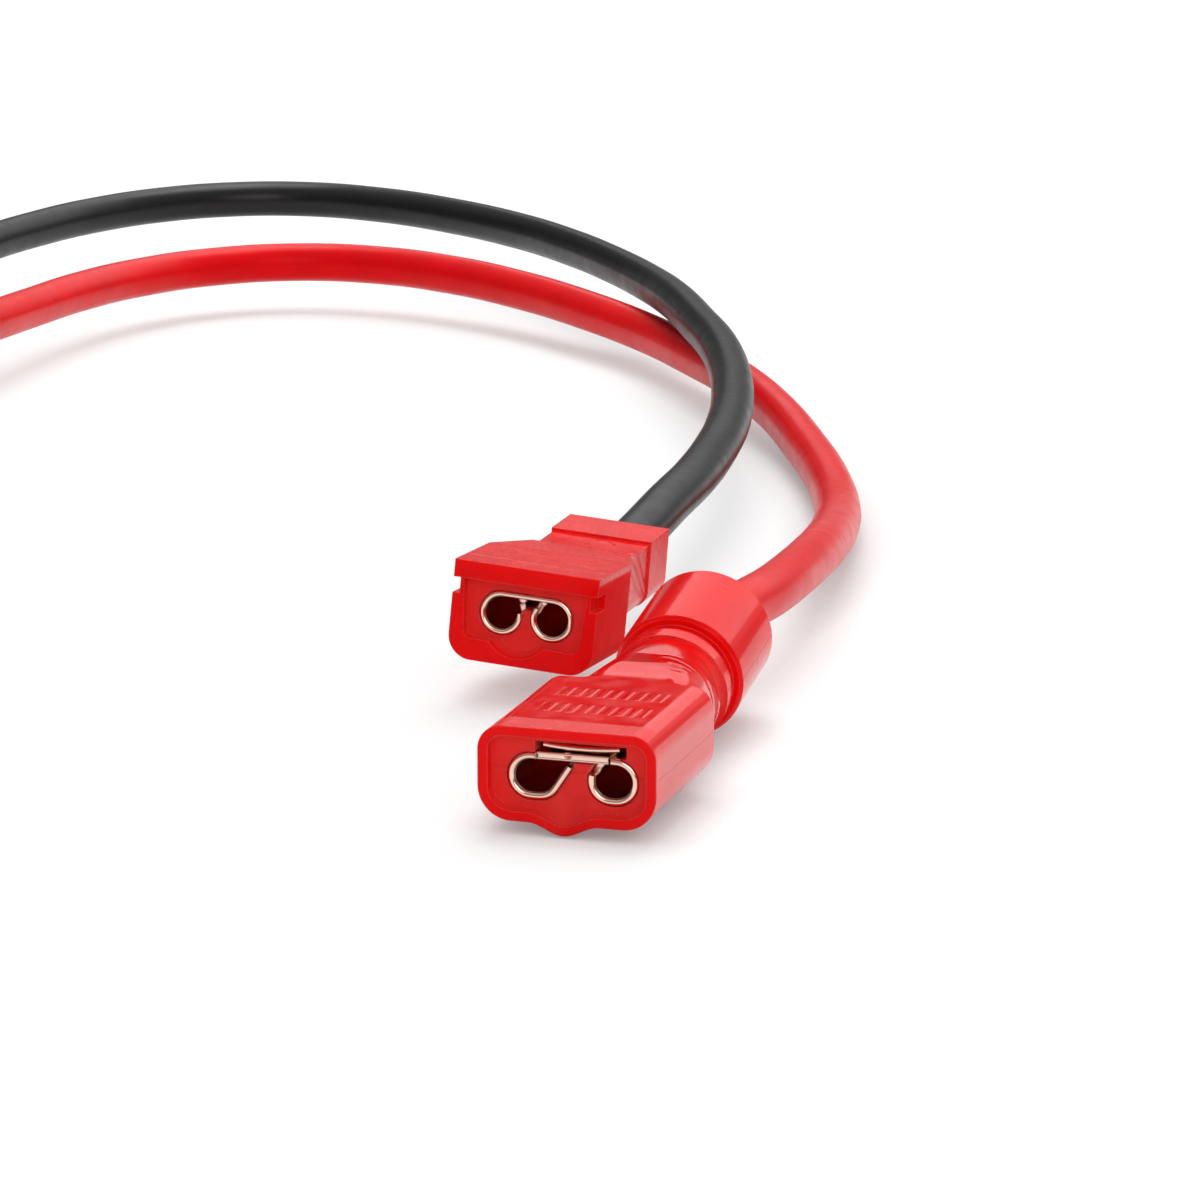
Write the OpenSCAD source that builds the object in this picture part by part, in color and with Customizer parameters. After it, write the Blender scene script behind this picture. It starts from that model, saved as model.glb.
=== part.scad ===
// Speaker adapter lead: a large and a small insulated blade socket on a red and a black wire,
// with a plain two-way plug on the other end of the wires. Millimetres, +Z up, floor at Z = 0.
// Each socket is drawn with its mouth at Y = 0, facing -Y, and its axis along +Y.

/* [Large hood] */
// Width of the large hood
hood_w = 8; // [7.4:0.1:10]
// Height of the large hood
hood_h = 4.2; // [3.9:0.1:6]
// Length of the large hood
hood_l = 8.9; // [8.4:0.1:14]
// Radius of the upper corners of the large hood
hood_r = 1.1; // [0.6:0.1:1.6]
// Radius of the lower corners of the large hood
hood_low_r = 1.5; // [0.8:0.1:1.8]
// Width of the belly under the large hood
belly_w = 3.2; // [2:0.1:5]
// Depth of the belly under the large hood
belly_drop = 0.5; // [0.2:0.05:0.9]
// Distance of the belly to the left of the hood's middle
belly_shift = 0.15; // [0:0.05:0.5]
// Thickness of the rim round the large mouth
rim_t = 0.45; // [0.3:0.05:0.6]
// Depth of the step inside the large rim
rim_depth = 0.6; // [0.3:0.1:1]

/* [Large neck and collar] */
// Length of the shoulder behind the large hood
shoulder_l = 0.9; // [0.5:0.1:1.5]
// Width of the neck where the shoulder ends
shoulder_w = 6.4; // [5.8:0.1:7.2]
// Height of the neck where the shoulder ends
shoulder_h = 4; // [3.9:0.1:4.6]
// Ledge round the hood's rear edge
hood_ledge = 0.1; // [0.05:0.01:0.2]
// Length from the hood to the bend in the neck
neck_l = 6.7; // [6:0.1:9]
// Corner radius of the neck where the shoulder ends
shoulder_r = 1.9; // [1.1:0.1:1.9]
// Diameter of the round end of the neck
neck_d = 5.2; // [4.8:0.1:5.8]
// Diameter of the bead in front of the collar
bead_d = 5.45; // [5:0.05:5.9]
// Length of the bead
bead_l = 0.75; // [0.4:0.05:1]
// Distance from the bend to the front of the collar
collar_gap = 1.35; // [1.1:0.05:2]
// Diameter of the round collar
collar_d = 6.1; // [5.8:0.1:7]
// Length of the round collar
collar_l = 5.3; // [4:0.1:8]
// Angle by which the collar is turned up from the hood
collar_bend = 11; // [0:1:15]
// Diameter of the wire funnel at the collar's rear
funnel_d = 4.4; // [3.6:0.1:5]
// Depth of the wire funnel
funnel_l = 1.8; // [1:0.1:2.5]
// Chamfer on the collar's edges
collar_chamfer = 0.15; // [0.05:0.05:0.3]

/* [Small hood] */
// Width of the small hood
small_w = 7.1; // [6.6:0.1:9]
// Height of the small hood
small_h = 4.7; // [4.4:0.1:6]
// Length of the small hood
small_l = 5.2; // [4.8:0.1:9]
// Radius of the lower corners of the small hood
small_r = 1.15; // [0.6:0.05:1.5]
// Thickness of the slab on top of the small hood
slab_t = 0.85; // [0.6:0.05:1]
// Width of the notch under the slab
notch_w = 0.35; // [0.2:0.05:0.6]
// Height of the notch under the slab
notch_h = 0.75; // [0.4:0.05:1]
// Length of the notch under the slab
notch_l = 1.3; // [0.6:0.1:2.5]
// Thickness of the side rims of the small mouth at the bottom
small_rim_side = 0.72; // [0.5:0.02:0.9]
// Thickness of the side rims of the small mouth under the slab
small_rim_top = 0.52; // [0.5:0.02:0.7]
// Thickness of the lower rim of the small mouth
small_rim_bottom = 1.05; // [0.8:0.05:1.2]
// Depth of the step inside the small rim
small_rim_depth = 0.55; // [0.3:0.05:1]
// Width of the hollow in the lower rim
hollow_w = 2.7; // [1.5:0.1:3.5]
// Depth of the hollow in the lower rim
hollow_drop = 0.7; // [0.3:0.05:0.8]
// Taper of the hollow over the depth of the step
hollow_draft = 0.35; // [0:0.05:0.5]
// Distance of the hollow to the left of the small hood's middle
hollow_shift = 0.25; // [0:0.05:0.5]
// Corner radius of the step inside the small rim
small_rim_r = 0.35; // [0.2:0.05:0.5]

/* [Small neck and collar] */
// Length of the tapered shoulders behind the small hood
small_shoulder_l = 3.6; // [2:0.1:5]
// Rise of the shoulders above the neck
small_shoulder_rise = 0.3; // [0.1:0.05:0.5]
// Length of the neck between the shoulders and the collar
small_neck_l = 3.3; // [2.5:0.1:5]
// Length of the dip from the shoulders down to the neck
small_dip_l = 1.1; // [0.6:0.1:1.6]
// Width of the small neck
small_neck_w = 4.9; // [4.4:0.1:5.6]
// Width of the square collar
small_collar_w = 5.1; // [4.6:0.1:6]
// Height of the square collar
small_collar_h = 3.4; // [3.3:0.1:4.5]
// Length of the square collar
small_collar_l = 3.05; // [2:0.05:5]
// Step from the neck up to the collar
small_collar_step = 0.15; // [0.1:0.05:0.4]
// Radius of the lower corners of the collar
small_collar_r = 0.9; // [0.4:0.1:1.4]
// Angle by which the collar is turned up from the small hood
small_bend = 4.5; // [0:0.5:8]

/* [Rolled receptacles] */
// Width of the large receptacle
large_recept_w = 5.9; // [5.6:0.05:6.2]
// Height of the large receptacle
large_recept_h = 2.1; // [1.8:0.05:2.3]
// Length of the large receptacle
large_recept_l = 6.6; // [5.5:0.1:7]
// Sheet thickness of the large receptacle
large_sheet_t = 0.32; // [0.25:0.01:0.4]
// Distance of the large receptacle below the hood's middle
large_recept_drop = 0.2; // [0:0.05:0.3]
// Distance of the large receptacle to the right of the hood's middle
large_recept_shift = 0.1; // [0:0.02:0.2]
// Extra width of the roll on the left of the large receptacle
left_roll_extra = 0.35; // [0:0.05:0.5]
// Extra width of the roll on the right of the large receptacle
right_roll_extra = 0.2; // [0:0.05:0.4]
// Set-back of the large receptacle from the rim
large_set_back = 0.7; // [0.65:0.05:1.2]
// Width of the tongue on the large receptacle
tongue_w = 3.25; // [2.5:0.05:3.6]
// Width of the slits beside the tongue
slit_w = 0.1; // [0.06:0.01:0.2]
// Length of the slits beside the tongue
slit_l = 0.9; // [0.5:0.1:1.5]
// Rise of the tongue above the base
tongue_rise = 0.05; // [0:0.01:0.1]
// Distance by which the tongue stands out in front of the rolls
tongue_lead = 0.08; // [0:0.01:0.1]
// Diameter of the dimple in the tongue's front edge
dimple_d = 0.4; // [0.2:0.05:0.6]
// Depth of the cut-back at the free ends of the rolls
roll_cut_l = 0.6; // [0.3:0.1:1.2]
// Width of the retaining lance
lance_w = 3.4; // [2:0.1:3.6]
// Distance of the lance to the right of the receptacle's middle
lance_shift = 0.35; // [0:0.05:0.5]
// Room beside the lance in its slot
lance_room = 0.35; // [0.1:0.05:0.5]
// Rise of the retaining lance above the base
lance_rise = 0.5; // [0.4:0.02:0.54]
// Length of the retaining lance
lance_l = 2.6; // [2:0.1:3.5]
// Width of the small receptacle
small_recept_w = 4.6; // [4.2:0.05:4.8]
// Height of the small receptacle
small_recept_h = 2.1; // [1.8:0.05:2.2]
// Length of the small receptacle
small_recept_l = 5.6; // [4.5:0.1:6]
// Sheet thickness of the small receptacle
small_sheet_t = 0.27; // [0.22:0.01:0.35]
// Set-back of the small receptacle from the rim
small_set_back = 0.6; // [0.55:0.05:1]
// Room for a blade under the base of the small receptacle
tab_room = 0.5; // [0.4:0.05:0.7]
// Diameter of the detent bead under the base of the small receptacle
detent_d = 0.4; // [0.2:0.05:0.5]
// Length of the detent bead
detent_l = 1.6; // [0.8:0.1:3]
// Length of the small crimp barrel
small_barrel_l = 3.1; // [2.5:0.1:3.4]
// Width of the strap from the large receptacle to its barrel
large_strap_w = 2; // [1.6:0.1:2.8]
// Width of the strap from the small receptacle to its barrel
small_strap_w = 1.8; // [1.4:0.1:2.2]

/* [Wires] */
// Diameter of the red wire
red_wire_d = 2.5; // [2.2:0.1:2.8]
// Diameter of the black wire
black_wire_d = 2.4; // [2.2:0.1:2.6]
// Diameter of the bared conductor in each wire
conductor_d = 1.2; // [1:0.1:1.4]

/* [Plug] */
// Width of the plug housing
plug_w = 16; // [15:0.5:22]
// Height of the plug housing
plug_h = 9; // [8.5:0.5:14]
// Length of the plug housing
plug_l = 24; // [23:0.5:32]
// Edge radius of the plug housing
plug_r = 1.5; // [0.8:0.1:2.5]
// Wall round the mouth of the plug
plug_wall = 1.3; // [1:0.1:1.8]
// Depth of the mouth of the plug
mouth_depth = 12; // [11:0.5:14]
// Distance between the two wires in the plug
plug_pitch = 8; // [7:0.5:9]
// Width of the plug's blades
blade_w = 2.8; // [2:0.1:4]
// Thickness of the plug's blades
blade_t = 0.8; // [0.5:0.1:1]
// Length of the plug's blades in the mouth
blade_l = 6.5; // [5:0.5:7]
// Outer diameter of the plug's crimp barrels
plug_barrel_d = 2.6; // [2.4:0.1:2.8]
// Length of the plug's crimp barrels
plug_barrel_l = 4; // [3:0.5:5]
// Depth by which each wire goes into the plug
plug_wire_l = 4; // [3:0.5:5]

/* [Fits] */
// Clearance between a metal piece and its pocket
seat_clear = 0.03; // [0.02:0.01:0.1]
// Clearance round a wire in its bore
wire_clear = 0.1; // [0.05:0.01:0.15]
// Gap between the end of a wire's jacket and its crimp barrel
strip_gap = 0.3; // [0.2:0.05:0.5]

/* [Layout] */
// Height of the middle of the small mouth
small_z = 4.3; // [4:0.1:4.6]
// Angle by which the small hood looks up
small_pitch = 4.2; // [3:0.1:5.5]
// Angle by which the small hood leans to its right
small_roll = 4.5; // [3:0.1:6]

/* [Hidden] */

$fn = 48;
eps = 0.01;
hull_fn = 32;
cord_sides = 8;
corner_steps = 10;
neck_steps = 9;

insulation_red = [0.86, 0.05, 0.06];
metal_gold = [0.87, 0.70, 0.60];
copper = [0.80, 0.50, 0.36];
wire_red = [0.84, 0.06, 0.08];
wire_black = [0.10, 0.10, 0.11];
plug_black = [0.09, 0.09, 0.10];

// Crimp barrels, rolled from the sheet of their receptacles
barrel_bore = conductor_d + 2 * wire_clear;
large_barrel_d = barrel_bore + 2 * large_sheet_t;
small_barrel_d = barrel_bore + 2 * small_sheet_t;

// Large socket along its axis
bend_y = hood_l + neck_l;
large_recept_y = large_set_back + large_recept_l;
large_barrel_y = hood_l + shoulder_l;
large_barrel_end = bend_y - strip_gap;
strap_lap = 0.35;
collar_rear = collar_gap + collar_l;
large_z = collar_d / 2 * cos(collar_bend) - (collar_gap + collar_chamfer) * sin(collar_bend);
leg_angle = 57;
leg_lap = 0.05;
leg_tip_gap = 0.1;
right_roll_open = 126;
right_roll_cut = 165;
tongue_lap = 0.2;
dimple_shift = -0.25;
lance_t = 0.25;
lance_bow_r = 14;
lance_bow = lance_w * lance_w / (8 * lance_bow_r);
lance_start = 0.1;
ridge_shift = 0.3;
ridge_reach = 0.4;
ridge_drop = 0.2;
ridge_sink = 0.1;
ledge_lap = 0.3;
bead_lap = bead_l / 3;
dent_shift = 1.35;
dent_share = 0.31;
dent_tilt = 10;
dent_r = 1.2;
dent_depth = 0.06;
dent_l = 4;
mouth_r_loss = 0.8;

// Small socket along its axis
small_neck_y = small_shoulder_l + small_neck_l;
small_recept_y = small_set_back + small_recept_l;
small_collar_rear = small_neck_y + small_collar_l;
small_barrel_end = small_shoulder_l + small_barrel_l;
small_collar_bottom = -small_collar_h / 2;
small_collar_top = small_collar_h / 2;
small_neck_top = small_collar_top - small_collar_step;
small_left_open = 30;
small_left_cut = 5;
small_right_open = 128;
small_right_cut = 150;
detent_shift = -0.3;
detent_start = 0.15;

// Plug along its axis, from its wire face towards its mouth
plug_barrel_y = plug_wire_l + strip_gap;
plug_blade_y = plug_barrel_y + plug_barrel_l;

// Where the wires leave the sockets and the plug, seen from above
red_exit = [4.1, 4.43];
black_exit = [-4.48, 17.74];
plug_at = [-62.9, 48.2];
large_at = red_exit - [0, bend_y + collar_rear * cos(collar_bend)];

// Turns a vector about the X axis, then about the Y axis
function turn_x(v, a) = [v.x, v.y * cos(a) - v.z * sin(a), v.y * sin(a) + v.z * cos(a)];
function turn_y(v, a) = [v.x * cos(a) + v.z * sin(a), v.y, v.z * cos(a) - v.x * sin(a)];

// Point on the wire axis of a socket or the plug, at a distance behind its bend or wire face
function large_axis(s) =
    [large_at.x, large_at.y + bend_y, large_z] + turn_x([0, s, 0], collar_bend);
function small_reach(s) =
    let (inside = [0, small_l, 0] + turn_x([0, s, 0], small_bend))
    turn_y(turn_x(inside, -small_pitch), small_roll);
function small_axis(s) = [small_at.x, small_at.y, small_z] + small_reach(s);
function plug_axis(side, s) = [plug_at.x + side * plug_pitch / 2, plug_at.y + s, plug_h / 2];

small_at = black_exit - [small_reach(small_collar_rear).x, small_reach(small_collar_rear).y];

// Points of each wire's free run, from its socket round to the plug
red_run = [
    [4.4, 8.5, 4], [4.7, 12.7, 3.9], [4.5, 18.2, 3.6], [4, 23.5, 3.2], [3.2, 29, 2.6],
    [2, 35.4, 1.9], [0.4, 42.1, 1.32], [-2, 49.1, 1.32], [-5.3, 56.6, 1.5],
    [-9, 63.7, 1.9], [-13.1, 70.2, 2.2], [-17.6, 76.3, 2.3], [-22.6, 82.4, 2.4],
    [-27.9, 87, 2.7], [-33.5, 91.2, 2.9], [-39, 94, 3.1], [-44.8, 95.5, 3.2],
    [-50.3, 94.9, 3.2], [-54.8, 91.6, 3.2], [-57.6, 86.1, 3.3], [-58.9, 79.2, 3.5],
    [-59.2, 72.2, 3.7], [-59.1, 65.3, 4], [-59, 58.5, 4.3], [-58.9, 53, 4.5]
];
black_run = [
    [-4.5, 21.5, 4.2], [-4.7, 27.2, 4.5], [-5, 33, 4.6], [-5.8, 39.6, 4.6],
    [-6.9, 46.2, 4.7], [-8.5, 52.8, 4.8], [-10.6, 59.6, 4.9], [-13.3, 66.5, 5],
    [-16.2, 72.6, 5], [-19.5, 79.2, 5], [-23.4, 86.1, 4.8], [-27.6, 92.2, 4.7],
    [-32.2, 98, 4.6], [-37.6, 103.6, 4.5], [-43.8, 108, 4.5], [-50.1, 110.9, 4.5],
    [-55.8, 111.6, 4.5], [-60.6, 109.9, 4.5], [-64.3, 106.3, 4.5], [-67, 101, 4.5],
    [-68.6, 94.6, 4.5], [-69.4, 87.5, 4.5], [-69.5, 80, 4.5], [-69, 72.5, 4.5],
    [-68.2, 65.5, 4.5], [-67.4, 58.5, 4.5], [-66.9, 53, 4.5]
];

// Extrudes a front-view outline along +Y, from y0 to y1
module along_y(y0, y1) {
    translate([0, y1, 0]) rotate([90, 0, 0]) linear_extrude(y1 - y0) children();
}

// Turns a profile of radius and distance about the Y axis
module around_y() {
    rotate([-90, 0, 0]) rotate_extrude() children();
}

// Round bar along +Y, from y0 to y1
module bar(d, y0, y1) {
    translate([0, y0, 0]) rotate([-90, 0, 0]) cylinder(d = d, h = y1 - y0);
}

// Thin slice of an outline, used as one station of a loft
module station(y) {
    along_y(y, y + eps) children();
}

module rounded_rect(w, h, r) {
    two_radius_rect(w, h, r, r);
}

// Rectangle with one radius on its upper corners and another on its lower ones
module two_radius_rect(w, h, r_up, r_low) {
    translate([-w / 2, -h / 2 + r_low]) square([w, h - r_up - r_low]);
    translate([-w / 2 + r_up, 0]) square([w - 2 * r_up, h / 2]);
    translate([-w / 2 + r_low, -h / 2]) square([w - 2 * r_low, h / 2]);
    for (sx = [-1, 1]) {
        translate([sx * (w / 2 - r_up), h / 2 - r_up]) circle(r_up);
        translate([sx * (w / 2 - r_low), -h / 2 + r_low]) circle(r_low);
    }
}

// Outline with square upper corners and round lower ones
module tub(w, top, bottom, r) {
    translate([-w / 2, bottom + r]) square([w, top - bottom - r]);
    translate([-w / 2 + r, bottom]) square([w - 2 * r, r + eps]);
    for (sx = [-1, 1]) translate([sx * (w / 2 - r), bottom + r]) circle(r);
}

// Smooth bump of a width and a depth that hangs from the line z = 0
module bump(w, drop) {
    steps = 16;
    curve = [for (i = [0:steps]) let (x = w * (i / steps - 0.5))
        [x, -drop * (1 + cos(360 * x / w)) / 2]];
    polygon(concat([[-w / 2, drop]], curve, [[w / 2, drop]]));
}

function ray(a) = [cos(a), sin(a)];

// Round outline drawn out sideways by an extra width, to the right or, if negative, to the left
module long_round(r, extra) {
    circle(r);
    if (extra != 0) {
        translate([extra, 0]) circle(r);
        translate([min(extra, 0), -r]) square([abs(extra), 2 * r]);
    }
}

// Wedge that reaches past a roll, between two angles counted from +X
module wedge(r, from, to) {
    steps = 4;
    rim = [for (i = [0:steps]) 2 * r * ray(from + (to - from) * i / steps)];
    polygon(concat([[0, 0]], rim));
}

// Rolled sheet in front view, open on its inner end between two angles
module roll(r, t, extra, open_from, open_to) {
    difference() {
        long_round(r, extra);
        long_round(r - t, extra);
        translate([extra, 0]) wedge(r, open_from, open_to);
    }
}

// Flat base between the roll centres
module base_strip(w, h, t, grow) {
    translate([-(w - h) / 2, h / 2 - t - grow]) square([w - h, t + 2 * grow]);
}

// Large receptacle: a roll that ends in a straight leg, the base, and a round roll
module large_section() {
    r = large_recept_h / 2;
    x = large_recept_w / 2 - r;
    leg_start = leg_angle - 90;
    base_strip(large_recept_w, large_recept_h, large_sheet_t, 0);
    translate([-x, 0]) {
        roll(r, large_sheet_t, left_roll_extra, leg_start, 90);
        translate([left_roll_extra, 0] + r * ray(leg_start)) rotate(leg_angle)
            translate([-leg_lap, 0]) square([leg_length() + leg_lap, large_sheet_t]);
    }
    translate([x, 0]) roll(r, large_sheet_t, -right_roll_extra, 90, right_roll_open);
}

// Length at which the leg's end stays clear of the base
function leg_length() = (large_recept_h / 2 * (1 - sin(leg_angle - 90)) - large_sheet_t
    - large_sheet_t * cos(leg_angle) - leg_tip_gap) / sin(leg_angle);

// Space that the large receptacle fills, grown by a clearance
module large_pocket(grow) {
    r = large_recept_h / 2;
    x = large_recept_w / 2 - r;
    heel = [left_roll_extra, 0] + (r + grow) * ray(leg_angle - 90);
    toe = heel + (leg_length() + grow) * ray(leg_angle);
    base_strip(large_recept_w, large_recept_h, large_sheet_t, grow);
    translate([x, 0]) long_round(r + grow, -right_roll_extra);
    translate([-x, 0]) {
        long_round(r + grow, left_roll_extra);
        polygon([[left_roll_extra, 0], heel, toe, [toe.x, r], [left_roll_extra, r]]);
    }
}

// Small receptacle: two round rolls joined by the base
module small_section() {
    r = small_recept_h / 2;
    x = small_recept_w / 2 - r;
    base_strip(small_recept_w, small_recept_h, small_sheet_t, 0);
    translate([-x, 0]) roll(r, small_sheet_t, 0, small_left_open, 90);
    translate([x, 0]) roll(r, small_sheet_t, 0, 90, small_right_open);
}

// Space that the small receptacle fills, grown by a clearance, with room for a blade
module small_pocket(grow) {
    r = small_recept_h / 2;
    x = small_recept_w / 2 - r;
    base_strip(small_recept_w, small_recept_h, small_sheet_t, grow);
    translate([-x, r - small_sheet_t - tab_room]) square([2 * x, tab_room]);
    for (sx = [-1, 1]) translate([sx * x, 0]) circle(r + grow);
}

// Crimp barrel along +Y with a bore for the conductor
module barrel(d, y0, y1) {
    difference() {
        bar(d, y0, y1);
        bar(barrel_bore, y0 - eps, y1 + eps);
    }
}

// Flat strap that joins a receptacle's base to its barrel, at the base's own height
module strap(w, h, t, y0, y1) {
    translate([-w / 2, y0, h / 2 - t]) cube([w, y1 - y0, t]);
}

// Puts what is drawn about the bend onto the large collar's axis
module on_large_collar() {
    translate([0, bend_y, 0]) rotate([collar_bend, 0, 0]) children();
}

module on_small_collar() {
    translate([0, small_l, 0]) rotate([small_bend, 0, 0]) children();
}

module place_large() {
    translate([large_at.x, large_at.y, large_z]) children();
}

module place_small() {
    translate([small_at.x, small_at.y, small_z])
        rotate([-small_pitch, small_roll, 0]) children();
}

// Closed skin over rings of as many points each
module skin(rings) {
    n = len(rings[0]);
    last = len(rings) - 1;
    corners = [for (points = rings) each points];
    walls = [for (i = [0:last - 1], k = [0:n - 1])
        [i * n + k, i * n + (k + 1) % n, (i + 1) * n + (k + 1) % n, (i + 1) * n + k]];
    start_cap = [for (k = [n - 1:-1:0]) k];
    end_cap = [for (k = [0:n - 1]) last * n + k];
    polyhedron(corners, concat([start_cap], walls, [end_cap]));
}

// Tube of a cord along its points
function unit(v) = v / norm(v);
function heading(p, i) = unit(p[min(i + 1, len(p) - 1)] - p[max(i - 1, 0)]);
function ring(p, i, r) =
    let (ahead = heading(p, i))
    let (side = unit(cross(ahead, [0, 0, 1])))
    let (up = cross(side, ahead))
    [for (k = [0:cord_sides - 1])
        p[i] + r * (cos(360 * k / cord_sides) * side + sin(360 * k / cord_sides) * up)];

module cord(p, d) {
    skin([for (i = [0:len(p) - 1]) ring(p, i, d / 2)]);
}

// Ridge between the two rolls, from the step's floor forward to the belly
module mouth_ridge() {
    floor_y = rim_depth + eps;
    bottom = -hood_h / 2 + rim_t;
    base_z = large_recept_h / 2 - large_sheet_t - large_recept_drop;
    top = [ridge_shift, floor_y, base_z - ridge_drop];
    foot = [-belly_shift, rim_depth - ridge_reach, bottom - belly_drop - ridge_sink / 2];
    left = [-belly_w / 2, floor_y, bottom - ridge_sink];
    right = [belly_w / 2, floor_y, bottom - ridge_sink];
    under = [-belly_shift, floor_y, bottom - belly_drop - ridge_sink];
    polyhedron([top, foot, left, right, under],
        [[0, 1, 2], [0, 3, 1], [2, 1, 4], [1, 3, 4], [0, 2, 4], [0, 4, 3]]);
}

// Ring of a rounded rectangle about a point, turned up by an angle
function rect_ring(at, w, h, r_up, r_low, tilt) =
    [for (q = [0:3], k = [0:corner_steps - 1])
        let (a = 90 * (q + (k + 0.5) / corner_steps))
        let (r = q < 2 ? r_up : r_low)
        let (x = sign(cos(a)) * (w / 2 - r) + r * cos(a))
        let (z = sign(sin(a)) * (h / 2 - r) + r * sin(a))
        at + turn_x([x, 0, z], tilt)];

// Size of the neck at a share of its way from the shoulder to the round end
function along_neck(from, to, share) = from + (to - from) * share * share * (3 - 2 * share);
function neck_w(share) = along_neck(shoulder_w, neck_d, share);
function neck_h(share) = along_neck(shoulder_h, neck_d, share);
function neck_r(share) = along_neck(shoulder_r, neck_d / 2, share);
function neck_y(share) = bend_y - (neck_l - shoulder_l) * (1 - share);

// Height of the neck's upper side at a distance from its middle
function neck_top(share, x) =
    let (r = neck_r(share))
    let (past_flat = max(x - neck_w(share) / 2 + r, 0))
    neck_h(share) / 2 - r + sqrt(r * r - past_flat * past_flat);

function neck_ring(share) =
    let (r = neck_r(share))
    rect_ring([0, neck_y(share), 0], neck_w(share), neck_h(share), r, r, collar_bend * share * share);

// Shoulder and neck, from just inside the hood to just inside the bead
module large_neck() {
    w = hood_w - 2 * hood_ledge;
    h = hood_h - 2 * hood_ledge;
    r = neck_d / 2;
    in_bead = [0, bend_y, 0] + turn_x([0, bead_lap, 0], collar_bend);
    shoulder = [for (y = [hood_l - ledge_lap, hood_l + hood_ledge / 2])
        rect_ring([0, y, 0], w, h, hood_r, hood_low_r, 0)];
    neck = [for (i = [0:neck_steps]) neck_ring(i / neck_steps)];
    skin(concat(shoulder, neck, [rect_ring(in_bead, neck_d, neck_d, r, r, collar_bend)]));
}

// Outside of the large insulator
module large_body() {
    along_y(0, hood_l) {
        two_radius_rect(hood_w, hood_h, hood_r, hood_low_r);
        translate([-belly_shift, -hood_h / 2]) bump(belly_w, belly_drop);
    }
    large_neck();
    on_large_collar() {
        bar(neck_d, bead_l - bead_lap, collar_gap + eps);
        bar(bead_d, 0, bead_l);
        round_collar();
    }
}

// Dent that the crimping tool left on the neck
module crimp_dent() {
    top = neck_top(dent_share, dent_shift);
    translate([dent_shift, neck_y(dent_share), top]) rotate([0, dent_tilt, 0])
        translate([0, 0, dent_r - dent_depth]) rotate([0, 90, 0])
            cylinder(r = dent_r, h = dent_l, center = true);
}

module round_collar() {
    r = collar_d / 2;
    c = collar_chamfer;
    around_y() polygon([[0, collar_gap], [r - c, collar_gap], [r, collar_gap + c],
        [r, collar_rear - c], [r - c, collar_rear], [0, collar_rear]]);
}

// Step inside the large rim, with the same wall over the belly
module large_step() {
    along_y(-eps, rim_depth) {
        two_radius_rect(hood_w - 2 * rim_t, hood_h - 2 * rim_t, hood_r - rim_t, hood_low_r - rim_t);
        translate([-belly_shift, -hood_h / 2 + rim_t]) bump(belly_w, belly_drop);
    }
}

// Hollows that hold the large receptacle, its lance, its barrel and the red wire
module large_hollows() {
    c = seat_clear;
    back = large_recept_y + c;
    slot_left = max(lance_w / 2 + lance_room - lance_shift, tongue_w / 2);
    slot_right = max(lance_w / 2 + lance_room + lance_shift, tongue_w / 2);
    translate([large_recept_shift, 0, -large_recept_drop]) {
        along_y(0, back) large_pocket(c);
        along_y(0, back)
            translate([-slot_left, large_recept_h / 2])
                square([slot_left + slot_right, lance_rise + c]);
        along_y(back - eps, large_barrel_y + strap_lap + c)
            translate([-large_strap_w / 2 - c, large_recept_h / 2 - large_sheet_t - c])
                square([large_strap_w + 2 * c, large_sheet_t + 2 * c]);
    }
    bar(large_barrel_d + 2 * c, large_barrel_y - c, large_barrel_end + c);
    on_large_collar() {
        bore_r = red_wire_d / 2 + wire_clear;
        bar(2 * bore_r, -2 * strip_gap, collar_rear + eps);
        around_y() polygon([[0, collar_rear - funnel_l], [bore_r, collar_rear - funnel_l],
            [funnel_d / 2, collar_rear + eps], [0, collar_rear + eps]]);
    }
}

module large_insulator() {
    color(insulation_red) place_large() difference() {
        union() {
            difference() {
                large_body();
                large_step();
            }
            mouth_ridge();
        }
        crimp_dent();
        large_hollows();
    }
}

// Lance: a bowed strip bent up out of the base, its free edge towards the mouth
module lance() {
    rise_angle = asin((lance_rise - lance_bow) / lance_l);
    translate([lance_shift, large_set_back + lance_start + lance_l, large_recept_h / 2 - lance_t])
        rotate([-rise_angle, 0, 0]) along_y(-lance_l, 0)
            intersection() {
                translate([-lance_w / 2, 0]) square([lance_w, lance_bow + lance_t]);
                translate([0, lance_bow_r]) difference() {
                    circle(lance_bow_r);
                    circle(lance_bow_r - lance_t);
                }
            }
}

// Tongue: the front of the base between two slits, a little raised, with a dimple in its edge
module tongue() {
    w = tongue_w - slit_w;
    l = tongue_lead + slit_l + tongue_lap;
    translate([0, large_set_back - tongue_lead, large_recept_h / 2 + tongue_rise]) difference() {
        translate([-w / 2, 0, -large_sheet_t]) cube([w, l, large_sheet_t]);
        translate([dimple_shift, 0, 0]) sphere(d = dimple_d);
    }
}

module large_receptacle() {
    r = large_recept_h / 2;
    slit_span = tongue_w + slit_w;
    color(metal_gold) place_large() {
        translate([large_recept_shift, 0, -large_recept_drop]) {
            difference() {
                along_y(large_set_back, large_recept_y) large_section();
                translate([-slit_span / 2, large_set_back - eps, r - large_sheet_t - eps])
                    cube([slit_span, slit_l + eps, large_sheet_t + 2 * eps]);
                along_y(large_set_back - eps, large_set_back + roll_cut_l)
                    translate([large_recept_w / 2 - r - right_roll_extra, 0])
                        wedge(r, right_roll_open, right_roll_cut);
            }
            tongue();
            lance();
            strap(large_strap_w, large_recept_h, large_sheet_t,
                large_recept_y - eps, large_barrel_y + strap_lap);
        }
        barrel(large_barrel_d, large_barrel_y, large_barrel_end);
    }
}

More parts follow.
